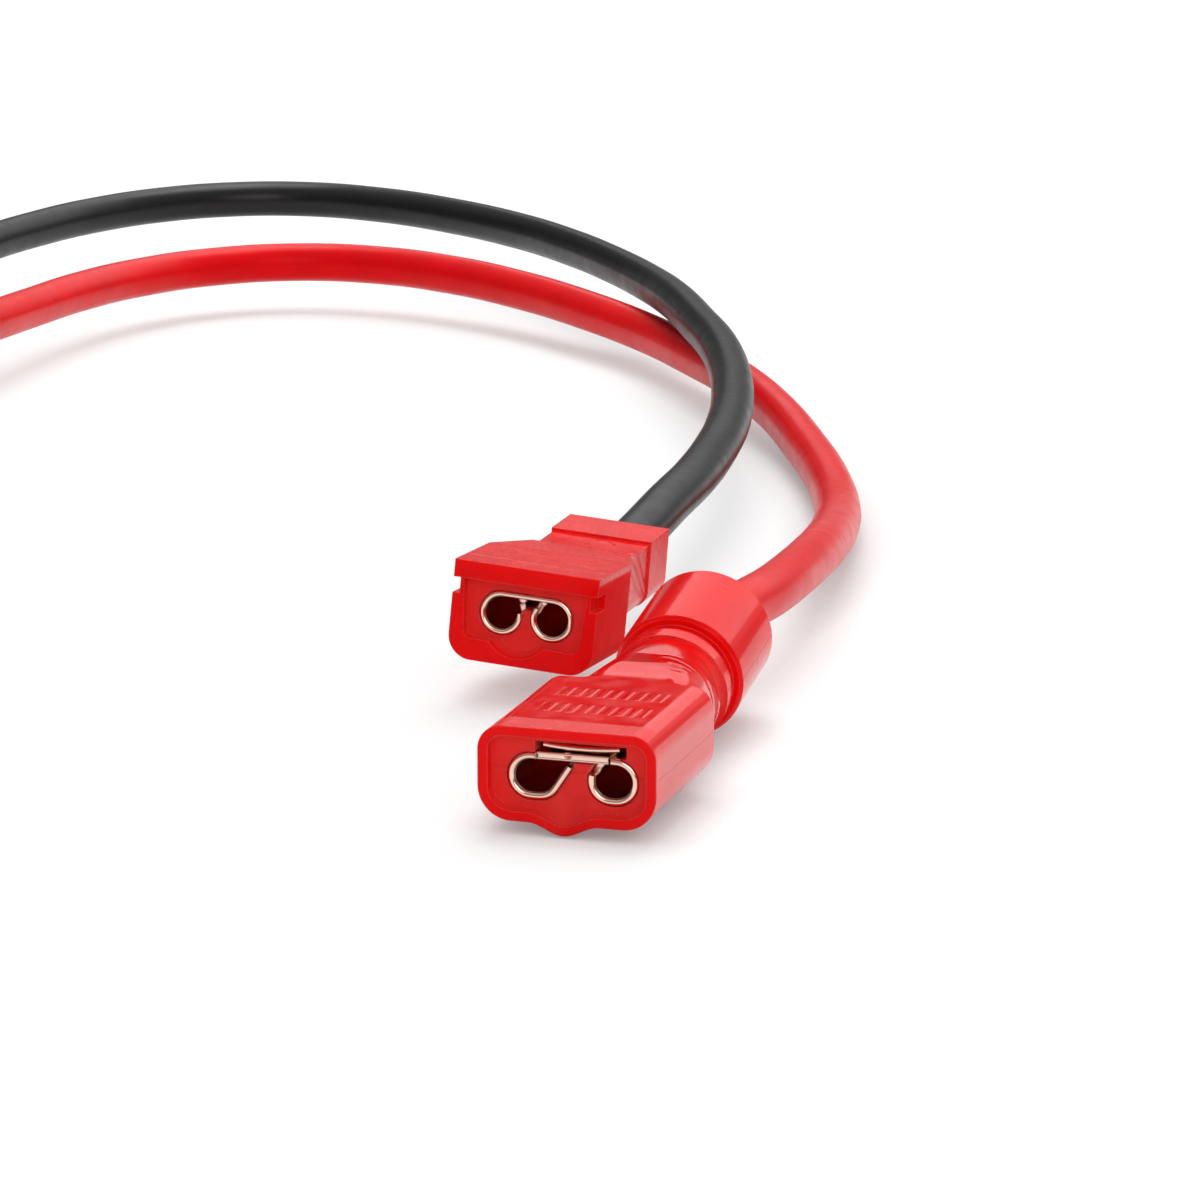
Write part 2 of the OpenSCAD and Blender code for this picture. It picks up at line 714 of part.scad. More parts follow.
module red_conductor_end() {
    color(copper) place_large() {
        bar(conductor_d, large_barrel_y + strap_lap + strip_gap, bend_y);
        on_large_collar() bar(conductor_d, -strip_gap, strip_gap);
    }
}

module red_wire() {
    color(wire_red) cord(concat([large_axis(strip_gap), large_axis(collar_rear - funnel_l)], red_run,
        [plug_axis(1, 0), plug_axis(1, -plug_wire_l)]), red_wire_d);
}

// Outside of the small insulator
module small_body() {
    half = small_h / 2;
    along_y(0, small_l) tub(small_w, half, -half, small_r);
    hull() {
        station(small_l - eps) tub(small_w, half, -half, small_r, $fn = hull_fn);
        small_neck_station(small_shoulder_l, small_shoulder_rise);
    }
    hull() {
        small_neck_station(small_shoulder_l, small_shoulder_rise);
        small_neck_station(small_shoulder_l + small_dip_l, 0);
    }
    on_small_collar() {
        along_y(small_shoulder_l, small_neck_y + eps)
            tub(small_neck_w, small_neck_top, small_collar_bottom, small_collar_r);
        along_y(small_neck_y, small_collar_rear)
            tub(small_collar_w, small_collar_top, small_collar_bottom, small_collar_r);
    }
}

// Station of the small neck, raised above its plain height
module small_neck_station(y, rise) {
    on_small_collar() station(y)
        tub(small_neck_w, small_neck_top + rise, small_collar_bottom, small_collar_r,
            $fn = hull_fn);
}

// Mouth of the small hood: wide under the slab, narrower and with round corners at the bottom
module small_mouth() {
    steps = 6;
    top = small_h / 2 - slab_t;
    low = -small_h / 2 + small_rim_bottom;
    wide = small_w / 2 - small_rim_top;
    r = small_rim_r;
    x = small_w / 2 - small_rim_side - r;
    left = [for (i = [0:steps]) [-x, low + r] + r * ray(180 + 90 * i / steps)];
    right = [for (i = [0:steps]) [x, low + r] + r * ray(270 + 90 * i / steps)];
    polygon(concat(left, right, [[wide, top], [-wide, top]]));
}

// Tapered hollow in the lower rim of the small mouth
module rim_hollow() {
    r = (hollow_w * hollow_w / 4 + hollow_drop * hollow_drop) / (2 * hollow_drop);
    low = -small_h / 2 + small_rim_bottom;
    translate([-hollow_shift, -eps, low - hollow_drop + r])
        rotate([-90, 0, 0]) cylinder(r1 = r, r2 = r - hollow_draft, h = small_rim_depth + eps);
}

// Step inside the small rim, its notches, and the hollows for what the small insulator holds
module small_hollows() {
    c = seat_clear;
    half = small_h / 2;
    back = small_recept_y + c;
    for (sx = [-1, 1])
        translate([sx * (small_w / 2 - notch_w / 2 + eps), notch_l / 2 - eps,
                half - slab_t - notch_h / 2])
            cube([notch_w + 2 * eps, notch_l + 2 * eps, notch_h], center = true);
    along_y(-eps, small_rim_depth) small_mouth();
    rim_hollow();
    along_y(0, back) small_pocket(c);
    on_small_collar() {
        along_y(small_recept_y - small_l - strap_lap - c, small_shoulder_l + strap_lap + c)
            translate([-small_strap_w / 2 - c, small_recept_h / 2 - small_sheet_t - c])
                square([small_strap_w + 2 * c, small_sheet_t + 2 * c]);
        bar(small_barrel_d + 2 * c, small_shoulder_l - c, small_barrel_end + c);
        bar(black_wire_d + 2 * wire_clear, small_barrel_end, small_collar_rear + eps);
    }
}

module small_insulator() {
    color(insulation_red) place_small() difference() {
        small_body();
        small_hollows();
    }
}

module small_receptacle() {
    r = small_recept_h / 2;
    x = small_recept_w / 2 - r;
    detent_y = small_set_back + detent_start;
    color(metal_gold) place_small() {
        difference() {
            along_y(small_set_back, small_recept_y) small_section();
            along_y(small_set_back - eps, small_set_back + roll_cut_l) {
                translate([-x, 0]) wedge(r, small_left_cut, small_left_open);
                translate([x, 0]) wedge(r, small_right_open, small_right_cut);
            }
        }
        translate([detent_shift, 0, r - small_sheet_t])
            bar(detent_d, detent_y, detent_y + detent_l);
        on_small_collar() {
            strap(small_strap_w, small_recept_h, small_sheet_t,
                small_recept_y - small_l - strap_lap, small_shoulder_l + strap_lap);
            barrel(small_barrel_d, small_shoulder_l, small_barrel_end);
        }
    }
}

module black_conductor_end() {
    color(copper) place_small() on_small_collar()
        bar(conductor_d, small_shoulder_l + strap_lap + strip_gap, small_barrel_end + strip_gap);
}

module black_wire() {
    start = small_barrel_end + strip_gap;
    color(wire_black) cord(concat([small_axis(start), small_axis(small_collar_rear)], black_run,
        [plug_axis(-1, 0), plug_axis(-1, -plug_wire_l)]), black_wire_d);
}

// Plug, drawn from its wire face at Y = 0 towards its mouth at -Y
module place_plug() {
    translate([plug_at.x, plug_at.y, plug_h / 2]) children();
}

// Way through the plug for one wire and its contact
module plug_way(wire_d) {
    c = seat_clear;
    bar(wire_d + 2 * wire_clear, -plug_barrel_y, eps);
    bar(plug_barrel_d + 2 * c, -plug_blade_y - c, -plug_barrel_y + c);
    along_y(-plug_l + mouth_depth - eps, -plug_blade_y + strap_lap + c)
        square([blade_w + 2 * c, blade_t + 2 * c], center = true);
}

module plug_housing() {
    color(plug_black) place_plug() difference() {
        along_y(-plug_l, 0) rounded_rect(plug_w, plug_h, plug_r);
        along_y(-plug_l - eps, -plug_l + mouth_depth)
            rounded_rect(plug_w - 2 * plug_wall, plug_h - 2 * plug_wall, plug_r - mouth_r_loss);
        translate([plug_pitch / 2, 0, 0]) plug_way(red_wire_d);
        translate([-plug_pitch / 2, 0, 0]) plug_way(black_wire_d);
    }
}

module plug_contact(side) {
    tip = -plug_l + mouth_depth - blade_l;
    color(metal_gold) place_plug() translate([side * plug_pitch / 2, 0, 0]) {
        along_y(tip, -plug_blade_y + strap_lap) square([blade_w, blade_t], center = true);
        barrel(plug_barrel_d, -plug_blade_y, -plug_barrel_y);
    }
}

module plug_contact_red() {
    plug_contact(1);
}

module plug_contact_black() {
    plug_contact(-1);
}

module conductor_plug_end(side) {
    color(copper) place_plug() translate([side * plug_pitch / 2, 0, 0])
        bar(conductor_d, -plug_blade_y + strap_lap + strip_gap, -plug_wire_l);
}

module red_conductor_plug_end() {
    conductor_plug_end(1);
}

module black_conductor_plug_end() {
    conductor_plug_end(-1);
}

large_insulator();
large_receptacle();
red_conductor_end();
red_wire();
small_insulator();
small_receptacle();
black_conductor_end();
black_wire();
plug_housing();
plug_contact_red();
plug_contact_black();
red_conductor_plug_end();
black_conductor_plug_end();
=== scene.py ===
"""Looks of the speaker adapter lead: two red insulated blade sockets on a red and a black wire."""

import logging
import math
from dataclasses import dataclass
from enum import Enum
from typing import Optional, Sequence, Union

import bpy
from mathutils import Euler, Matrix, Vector


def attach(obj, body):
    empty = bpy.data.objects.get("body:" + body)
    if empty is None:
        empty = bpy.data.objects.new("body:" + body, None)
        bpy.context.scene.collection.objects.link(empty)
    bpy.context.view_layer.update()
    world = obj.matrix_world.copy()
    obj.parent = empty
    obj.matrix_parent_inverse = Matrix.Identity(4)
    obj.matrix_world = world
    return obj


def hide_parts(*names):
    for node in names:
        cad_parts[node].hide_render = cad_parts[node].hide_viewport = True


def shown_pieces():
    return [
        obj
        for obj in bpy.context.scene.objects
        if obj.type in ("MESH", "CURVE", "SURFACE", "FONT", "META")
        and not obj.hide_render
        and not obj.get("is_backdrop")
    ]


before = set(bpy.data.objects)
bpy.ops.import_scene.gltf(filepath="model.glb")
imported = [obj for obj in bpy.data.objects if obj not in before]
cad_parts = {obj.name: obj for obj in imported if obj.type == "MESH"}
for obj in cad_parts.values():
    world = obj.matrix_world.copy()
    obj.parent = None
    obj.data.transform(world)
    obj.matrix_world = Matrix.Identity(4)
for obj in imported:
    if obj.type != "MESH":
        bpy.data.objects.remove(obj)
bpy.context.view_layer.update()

LOG = logging.getLogger("speaker_lead")
MM = 0.001
Point = tuple[float, float, float]
Spot = tuple[float, float]
Span = tuple[float, float]
Colour = tuple[float, float, float]
Value = Union[float, Sequence[float], bpy.types.NodeSocket]


class Slot(str, Enum):
    """Material slots of the record."""

    INSULATOR = "insulator_red"
    METAL = "terminal_metal"
    COPPER = "copper_strand"
    WIRE_RED = "wire_red"
    WIRE_BLACK = "wire_black"
    PLUG = "plug_black"


class Socket(str, Enum):
    """Kinds of sockets on a node group."""

    FLOAT = "NodeSocketFloat"
    VECTOR = "NodeSocketVector"
    COLOUR = "NodeSocketColor"


# Sockets of the Mix node where it mixes colours

MIX_A = 6
MIX_B = 7
MIX_RESULT = 2

# Numbers of the shared effects: lengths in millimetres, waves per millimetre, the others as shares

PARTING_CORE = 0.3
EDGE_FULL = 0.80
EDGE_NONE = 0.99
CELL_MIDDLE = 0.5
BAR_HALF_LEAST = 0.18
BAR_HALF_SPREAD = 0.14
SWAY_WAVES = (0.22, 0.35, 0.2)
SWAY_MM = 1.8
FLOW_WAVES = (0.05, 0.65, 0.2)
FLOW_WIDTH = 0.15
CLOUD_WAVES = 0.35
CLOUD_TONES = (0.95, 1.04)
PATCHY_WAVES = 0.9
PATCHY_MATT = (-0.03, 0.04)
GRAIN_WAVES = 9.0
SLOW_WAVES = 0.8
NOISE_LOW = 0.3
NOISE_HIGH = 0.7
NOISE_MIDDLE = 0.5


# Node graphs and shared effects


class Graph:
    """Builds nodes in one node tree.

    Args:
        tree: The material's, world's or group's node tree.
    """

    def __init__(self, tree: bpy.types.NodeTree) -> None:
        self.tree = tree

    def set(self, node: bpy.types.Node, key: Union[str, int], value: Value) -> None:
        """Links a socket to an input, or writes a constant on it.

        Args:
            node: The node that takes the value.
            key: Name or index of its input.
            value: A socket to link, or a constant.
        """
        if isinstance(value, bpy.types.NodeSocket):
            self.tree.links.new(value, node.inputs[key])
        else:
            node.inputs[key].default_value = value

    def add(self, kind: str, inputs: Optional[dict] = None, **settings: object) -> bpy.types.Node:
        """Adds a node.

        Args:
            kind: The node's type name.
            inputs: Values or sockets by input name or index.
            settings: Properties of the node.

        Returns:
            The new node.
        """
        node = self.tree.nodes.new(kind)
        for name, value in settings.items():
            setattr(node, name, value)
        for key, value in (inputs or {}).items():
            self.set(node, key, value)
        return node

    def group(self, tree: bpy.types.NodeTree, inputs: dict) -> bpy.types.Node:
        """Places a shader node group with its inputs."""
        return self.add("ShaderNodeGroup", inputs, node_tree=tree)

    def math(self, operation: str, *values: Value) -> bpy.types.NodeSocket:
        """Adds a Math node and returns its result.

        Args:
            operation: The node's operation.
            values: One to three numbers or sockets.

        Returns:
            The result socket.
        """
        inputs = dict(enumerate(values))
        return self.add("ShaderNodeMath", inputs, operation=operation).outputs[0]

    def vector(self, operation: str, *values: Value) -> bpy.types.NodeSocket:
        """Adds a Vector Math node and returns its result.

        Args:
            operation: The node's operation.
            values: Vectors or sockets.

        Returns:
            The result socket.
        """
        inputs = dict(enumerate(values))
        return self.add("ShaderNodeVectorMath", inputs, operation=operation).outputs[0]

    def mix(self, factor: Value, a: Value, b: Value) -> bpy.types.NodeSocket:
        """Mixes two colours.

        Args:
            factor: Share of the second colour.
            a: First colour.
            b: Second colour.

        Returns:
            The mixed colour's socket.
        """
        node = self.add("ShaderNodeMix", data_type="RGBA")
        self.set(node, "Factor", factor)
        self.set(node, MIX_A, a)
        self.set(node, MIX_B, b)
        return node.outputs[MIX_RESULT]

    def blend(self, factor: Value, a: Value, b: Value) -> bpy.types.NodeSocket:
        """Mixes two numbers.

        Args:
            factor: Share of the second number.
            a: First number.
            b: Second number.

        Returns:
            The mixed number's socket.
        """
        inputs = {"Factor": factor, "A": a, "B": b}
        return self.add("ShaderNodeMix", inputs, data_type="FLOAT").outputs[0]

    def ramp(self, value: Value, low: float, high: float, start: float, end: float) -> bpy.types.NodeSocket:
        """Maps a range smoothly onto another.

        Args:
            value: What is mapped.
            low: Where the range starts.
            high: Where the range ends.
            start: Result at the start.
            end: Result at the end.

        Returns:
            The mapped value's socket.
        """
        node = self.add("ShaderNodeMapRange", interpolation_type="SMOOTHSTEP")
        for key, number in enumerate((value, low, high, start, end)):
            self.set(node, key, number)
        return node.outputs[0]

    def noise(self, vector: Value, scale: float, detail: float = 3.0) -> bpy.types.NodeSocket:
        """Adds a Noise texture and returns its value.

        Args:
            vector: Where it is read.
            scale: Size of its grain, as waves per unit.
            detail: Number of finer layers.

        Returns:
            The noise value's socket.
        """
        inputs = {"Vector": vector, "Scale": scale, "Detail": detail}
        return self.add("ShaderNodeTexNoise", inputs).outputs[0]


def new_group(
    name: str, inputs: dict[str, Socket], outputs: dict[str, Socket],
) -> tuple[Graph, dict, bpy.types.Node]:
    """Makes an empty shader node group.

    Args:
        name: The group's name.
        inputs: Kinds of its inputs by name.
        outputs: Kinds of its outputs by name.

    Returns:
        Its graph, its input sockets by name, and its output node.
    """
    tree = bpy.data.node_groups.new(name, "ShaderNodeTree")
    for label, kind in inputs.items():
        tree.interface.new_socket(name=label, in_out="INPUT", socket_type=kind.value)
    for label, kind in outputs.items():
        tree.interface.new_socket(name=label, in_out="OUTPUT", socket_type=kind.value)
    graph = Graph(tree)
    taken = graph.add("NodeGroupInput").outputs
    return graph, {label: taken[label] for label in inputs}, graph.add("NodeGroupOutput")


def patch_group() -> bpy.types.NodeTree:
    """Makes the group that masks a soft patch.

    Returns:
        The group: 1 inside a box of half sizes that is bent about its Z axis, 0 outside.
    """
    graph, given, out = new_group(
        "SoftPatch",
        {"Vector": Socket.VECTOR, "Half": Socket.VECTOR, "Soft": Socket.FLOAT, "Radius": Socket.FLOAT},
        {"Mask": Socket.FLOAT},
    )
    flat = graph.add("ShaderNodeSeparateXYZ", {0: given["Vector"]}).outputs
    out_x = graph.math("ADD", flat[0], given["Radius"])
    arm = graph.add("ShaderNodeCombineXYZ", {0: out_x, 1: flat[1]}).outputs[0]
    reach = graph.vector("LENGTH", arm).node.outputs["Value"]
    across = graph.math("SUBTRACT", reach, given["Radius"])
    along = graph.math("MULTIPLY", graph.math("ARCTAN2", flat[1], out_x), given["Radius"])
    bent = graph.add("ShaderNodeCombineXYZ", {0: across, 1: along, 2: flat[2]}).outputs[0]
    beyond = graph.vector("SUBTRACT", graph.vector("ABSOLUTE", bent), given["Half"])
    split = graph.add("ShaderNodeSeparateXYZ", {0: beyond}).outputs
    most = graph.math("MAXIMUM", graph.math("MAXIMUM", split[0], split[1]), split[2])
    share = graph.math("DIVIDE", most, given["Soft"])
    graph.set(out, "Mask", graph.ramp(share, -1.0, 1.0, 1.0, 0.0))
    return graph.tree


def parting_group() -> bpy.types.NodeTree:
    """Makes the group that masks a mould's parting line.

    Returns:
        The group: 1 on a level line along the piece's sides, which climbs with a slope behind a bend.
    """
    numbers = ("Level", "Start", "Bend", "Slope", "Width")
    graph, given, out = new_group(
        "PartingLine",
        {"Vector": Socket.VECTOR, **{name: Socket.FLOAT for name in numbers}},
        {"Mask": Socket.FLOAT},
    )
    split = graph.add("ShaderNodeSeparateXYZ", {0: given["Vector"]}).outputs
    past = graph.math("MAXIMUM", graph.math("SUBTRACT", split[1], given["Bend"]), 0.0)
    line = graph.math("MULTIPLY_ADD", past, given["Slope"], given["Level"])
    away = graph.math("ABSOLUTE", graph.math("SUBTRACT", split[2], line))
    near = graph.ramp(graph.math("DIVIDE", away, given["Width"]), PARTING_CORE, 1.0, 1.0, 0.0)
    begun = graph.math("GREATER_THAN", split[1], given["Start"])
    graph.set(out, "Mask", graph.math("MULTIPLY", near, begun))
    return graph.tree


def edge_group() -> bpy.types.NodeTree:
    """Makes the group that finds the edges of a piece.

    Returns:
        The group: 1 where the softened normal leaves the face's own, 0 on a flat face.
    """
    graph, given, out = new_group(
        "Edges",
        {"Normal": Socket.VECTOR, "Soft": Socket.VECTOR},
        {"Mask": Socket.FLOAT},
    )
    same = graph.vector("DOT_PRODUCT", given["Normal"], given["Soft"]).node.outputs["Value"]
    graph.set(out, "Mask", graph.ramp(same, EDGE_FULL, EDGE_NONE, 1.0, 0.0))
    return graph.tree


def relief_group() -> bpy.types.NodeTree:
    """Makes the group for rows of plain raised bars.

    Returns:
        The group: 1 on bars of uneven width, one for each step along X, 0 between them.
    """
    graph, given, out = new_group(
        "ReliefBars",
        {"Vector": Socket.VECTOR, "Step": Socket.FLOAT, "Row": Socket.FLOAT, "Soft": Socket.FLOAT},
        {"Mask": Socket.FLOAT},
    )
    split = graph.add("ShaderNodeSeparateXYZ", {0: given["Vector"]}).outputs
    steps = graph.math("DIVIDE", split[0], given["Step"])
    cell = graph.math("FLOOR", steps)
    share = graph.math("SUBTRACT", steps, cell)
    away = graph.math("ABSOLUTE", graph.math("SUBTRACT", share, CELL_MIDDLE))
    row = graph.math("FLOOR", graph.math("DIVIDE", split[1], given["Row"]))
    place = graph.add("ShaderNodeCombineXYZ", {0: cell, 1: row}).outputs[0]
    chance = graph.add("ShaderNodeTexWhiteNoise", {"Vector": place}, noise_dimensions="3D")
    half = graph.math("MULTIPLY_ADD", chance.outputs["Value"], BAR_HALF_SPREAD, BAR_HALF_LEAST)
    past = graph.math("DIVIDE", graph.math("SUBTRACT", away, half), given["Soft"])
    graph.set(out, "Mask", graph.ramp(past, -1.0, 1.0, 1.0, 0.0))
    return graph.tree


def flow_group() -> bpy.types.NodeTree:
    """Makes the group for flow lines that the melt left in a moulded face.

    Returns:
        The group: wavy lines across X in the piece's own millimetres.
    """
    graph, given, out = new_group("FlowLines", {"Vector": Socket.VECTOR}, {"Height": Socket.FLOAT})
    sway = graph.noise(graph.vector("MULTIPLY", given["Vector"], SWAY_WAVES), 1.0, 1.0)
    split = graph.add("ShaderNodeSeparateXYZ", {0: given["Vector"]}).outputs
    bent = graph.math("MULTIPLY_ADD", sway, SWAY_MM, split[1])
    drawn = graph.add("ShaderNodeCombineXYZ", {0: split[0], 1: bent, 2: split[2]}).outputs[0]
    lines = graph.noise(graph.vector("MULTIPLY", drawn, FLOW_WAVES), 1.0, 0.0)
    crest = graph.math("ABSOLUTE", graph.math("SUBTRACT", lines, NOISE_MIDDLE))
    graph.set(out, "Height", graph.ramp(crest, 0.0, FLOW_WIDTH, 1.0, 0.0))
    return graph.tree


def moulded_group() -> bpy.types.NodeTree:
    """Makes the group for moulded plastic.

    Returns:
        The group: colour, roughness and height of a moulded skin, read in millimetres.
    """
    graph, given, out = new_group(
        "MouldedSkin",
        {
            "Vector": Socket.VECTOR, "Color": Socket.COLOUR, "Roughness": Socket.FLOAT,
            "Grain": Socket.FLOAT, "Wave": Socket.FLOAT,
        },
        {"Color": Socket.COLOUR, "Roughness": Socket.FLOAT, "Height": Socket.FLOAT},
    )
    cloud = graph.noise(given["Vector"], CLOUD_WAVES)
    tone = graph.ramp(cloud, NOISE_LOW, NOISE_HIGH, *CLOUD_TONES)
    shaded = graph.vector("SCALE", given["Color"])
    graph.set(shaded.node, "Scale", tone)
    graph.set(out, "Color", shaded)
    patchy = graph.noise(given["Vector"], PATCHY_WAVES, 2.0)
    matt = graph.ramp(patchy, NOISE_LOW, NOISE_HIGH, *PATCHY_MATT)
    graph.set(out, "Roughness", graph.math("ADD", given["Roughness"], matt))
    fine = graph.math("MULTIPLY", graph.noise(given["Vector"], GRAIN_WAVES, 1.0), given["Grain"])
    wavy = graph.noise(given["Vector"], SLOW_WAVES, 1.0)
    graph.set(out, "Height", graph.math("MULTIPLY_ADD", wavy, given["Wave"], fine))
    return graph.tree


# Finishes


@dataclass(frozen=True)
class Finish:
    """A surface finish.

    Args:
        slot: Material slot that it belongs to; not used.
        colour: Base colour, linear.
        roughness: Roughness of the plain surface.
        grain_mm: Height of the fine grain in millimetres.
        wave_mm: Height of slow waves in millimetres.
        metallic: 1 for bare metal.
        specular: Specular level.
        tint: Colour of the reflection seen straight on.
        glow: Share of light that passes under the skin.
        edge_mm: Radius of the softened edges in millimetres.
        edge_highlight_colour: Paler colour painted on those edges as a highlight, linear.
    """

    slot: Slot
    colour: Colour
    roughness: float
    grain_mm: float
    wave_mm: float
    metallic: float = 0.0
    specular: float = 0.5
    tint: Colour = (1.0, 1.0, 1.0)
    glow: float = 0.0
    edge_mm: float = 0.0
    edge_highlight_colour: Optional[Colour] = None


MOULDED_RED: Colour = (0.86, 0.004, 0.005)
# A paler red painted on the edges as a highlight.
PAINTED_EDGE_HIGHLIGHT_RED: Colour = (0.92, 0.075, 0.065)
# A paler red painted on as sheen and reflection where the surface would catch light.
PAINTED_SHEEN_RED: Colour = (0.88, 0.055, 0.048)
RED_GLEAM: Colour = (1.0, 0.12, 0.12)
LARGE_INSULATION = Finish(
    Slot.INSULATOR, MOULDED_RED, roughness=0.10, grain_mm=0.0002, wave_mm=0.003,
    tint=RED_GLEAM, glow=0.5, edge_mm=0.12, edge_highlight_colour=PAINTED_EDGE_HIGHLIGHT_RED,
)
SMALL_INSULATION = Finish(
    Slot.INSULATOR, MOULDED_RED, roughness=0.26, grain_mm=0.0001, wave_mm=0.002,
    tint=RED_GLEAM, glow=0.5, edge_mm=0.12, edge_highlight_colour=PAINTED_EDGE_HIGHLIGHT_RED,
)
TERMINAL = Finish(
    Slot.METAL, (0.88, 0.62, 0.51), roughness=0.16, grain_mm=0.0006, wave_mm=0.002,
    metallic=1.0, edge_mm=0.17,
)
POLISHED_RIM = Finish(
    Slot.METAL, (0.88, 0.62, 0.50), roughness=0.09, grain_mm=0.0, wave_mm=0.001, metallic=1.0,
)
STRAND = Finish(
    Slot.COPPER, (0.80, 0.45, 0.30), roughness=0.30, grain_mm=0.002, wave_mm=0.002, metallic=1.0,
)
RED_JACKET = Finish(
    Slot.WIRE_RED, (0.80, 0.004, 0.007), roughness=0.32, grain_mm=0.0, wave_mm=0.0,
    specular=0.35, tint=(1.0, 0.15, 0.15),
)
BLACK_JACKET = Finish(
    Slot.WIRE_BLACK, (0.006, 0.006, 0.007), roughness=0.34, grain_mm=0.0, wave_mm=0.0, specular=0.3,
)
PLUG_SKIN = Finish(Slot.PLUG, (0.018, 0.018, 0.020), roughness=0.50, grain_mm=0.003, wave_mm=0.004)


@dataclass(frozen=True)
class Mark:
    """A patch, line or arc on a surface.

    Args:
        centre: Middle in the piece's own millimetres.
        half: Half sizes in millimetres.
        soft: Softness of its edge in millimetres.
        height: Height in millimetres, negative where sunk.
        turn: Turn about X, Y and Z in degrees.
        radius: Radius of the arc on which the patch lies, about its Z axis.
        shade: Share by which the colour darkens, for a dark mark such as a streak or tick, or as painted
            shade.
        painted_sheen: Share of the paler tone painted on as sheen and reflection.
        matt: Roughness that it adds.
    """

    centre: Point
    half: Point
    soft: float
    height: float = 0.0
    turn: Point = (0.0, 0.0, 0.0)
    radius: float = 300.0
    shade: float = 0.0
    painted_sheen: float = 0.0
    matt: float = 0.0


@dataclass(frozen=True)
class Moulding:
    """What moulding left on a piece.

    Args:
        marks: Marks on its surface.
        parting_mm: Level of the parting line, if it shows.
        start_mm: Distance along the piece at which it starts.
        bend_mm: Distance along the piece behind which the line climbs.
        climb_deg: Angle at which it climbs.
        relief_mm: Height of the raised bars.
        relief_rows: Patches that hold a row of bars each.
        flow_mm: Height of flow lines.
        flow_patch: Patch that shows the flow lines.
    """

    marks: tuple[Mark, ...] = ()
    parting_mm: Optional[float] = None
    start_mm: float = 0.0
    bend_mm: float = 0.0
    climb_deg: float = 0.0
    relief_mm: float = 0.0
    relief_rows: tuple[Mark, ...] = ()
    flow_mm: float = 0.0
    flow_patch: Optional[Mark] = None


GLOW_DEPTH_MM = 1.2
EDGE_SAMPLES = 6
PARTING_WIDTH_MM = 0.05
PARTING_DEPTH_MM = 0.012
PARTING_SHADE = 0.10
RELIEF_STEP_MM = 0.55
RELIEF_ROW_MM = 2.6
RELIEF_SOFT = 0.12


@dataclass(frozen=True)
class Place:
    """Where a piece's own frame lies.

    Args:
        origin: Origin in the row frame, in millimetres.
        turn: Turn about X, Y and Z in degrees.
    """

    origin: Point = (0.0, 0.0, 0.0)
    turn: Point = (0.0, 0.0, 0.0)


class Surface:
    """Height, roughness and colour of one material while marks are added to it.

    Args:
        graph: Graph of the material.
        where: The piece's own coordinates in millimetres.
        skin: Node of the plain skin.
    """

    def __init__(self, graph: Graph, where: bpy.types.NodeSocket, skin: bpy.types.Node) -> None:
        self.graph = graph
        self.where = where
        self.height: Value = skin.outputs["Height"]
        self.rough: Value = skin.outputs["Roughness"]
        self.colour: Value = skin.outputs["Color"]
        self.light: Value = 1.0

    def lift(self, mask: Value, height_mm: float) -> None:
        """Raises or sinks the surface under a mask."""
        self.height = self.graph.math("MULTIPLY_ADD", mask, height_mm, self.height)

    def roughen(self, mask: Value, matt: float) -> None:
        """Adds roughness under a mask."""
        self.rough = self.graph.math("MULTIPLY_ADD", mask, matt, self.rough)

    def painted_sheen(self, mask: Value, share: float) -> None:
        """Mixes in the paler tone painted as sheen and reflection under a mask."""
        factor = self.graph.math("MULTIPLY", mask, share)
        self.colour = self.graph.mix(factor, self.colour, (*PAINTED_SHEEN_RED, 1.0))

    def darken(self, mask: Value, share: float) -> None:
        """Darkens the colour under a mask."""
        left = self.graph.math("MULTIPLY_ADD", mask, -share, 1.0)
        self.light = self.graph.math("MULTIPLY", self.light, left)

    def shaded(self) -> bpy.types.NodeSocket:
        """Gives the colour with its darker places.

        Returns:
            The colour's socket.
        """
        shaded = self.graph.vector("SCALE", self.colour)
        self.graph.set(shaded.node, "Scale", self.light)
        return shaded


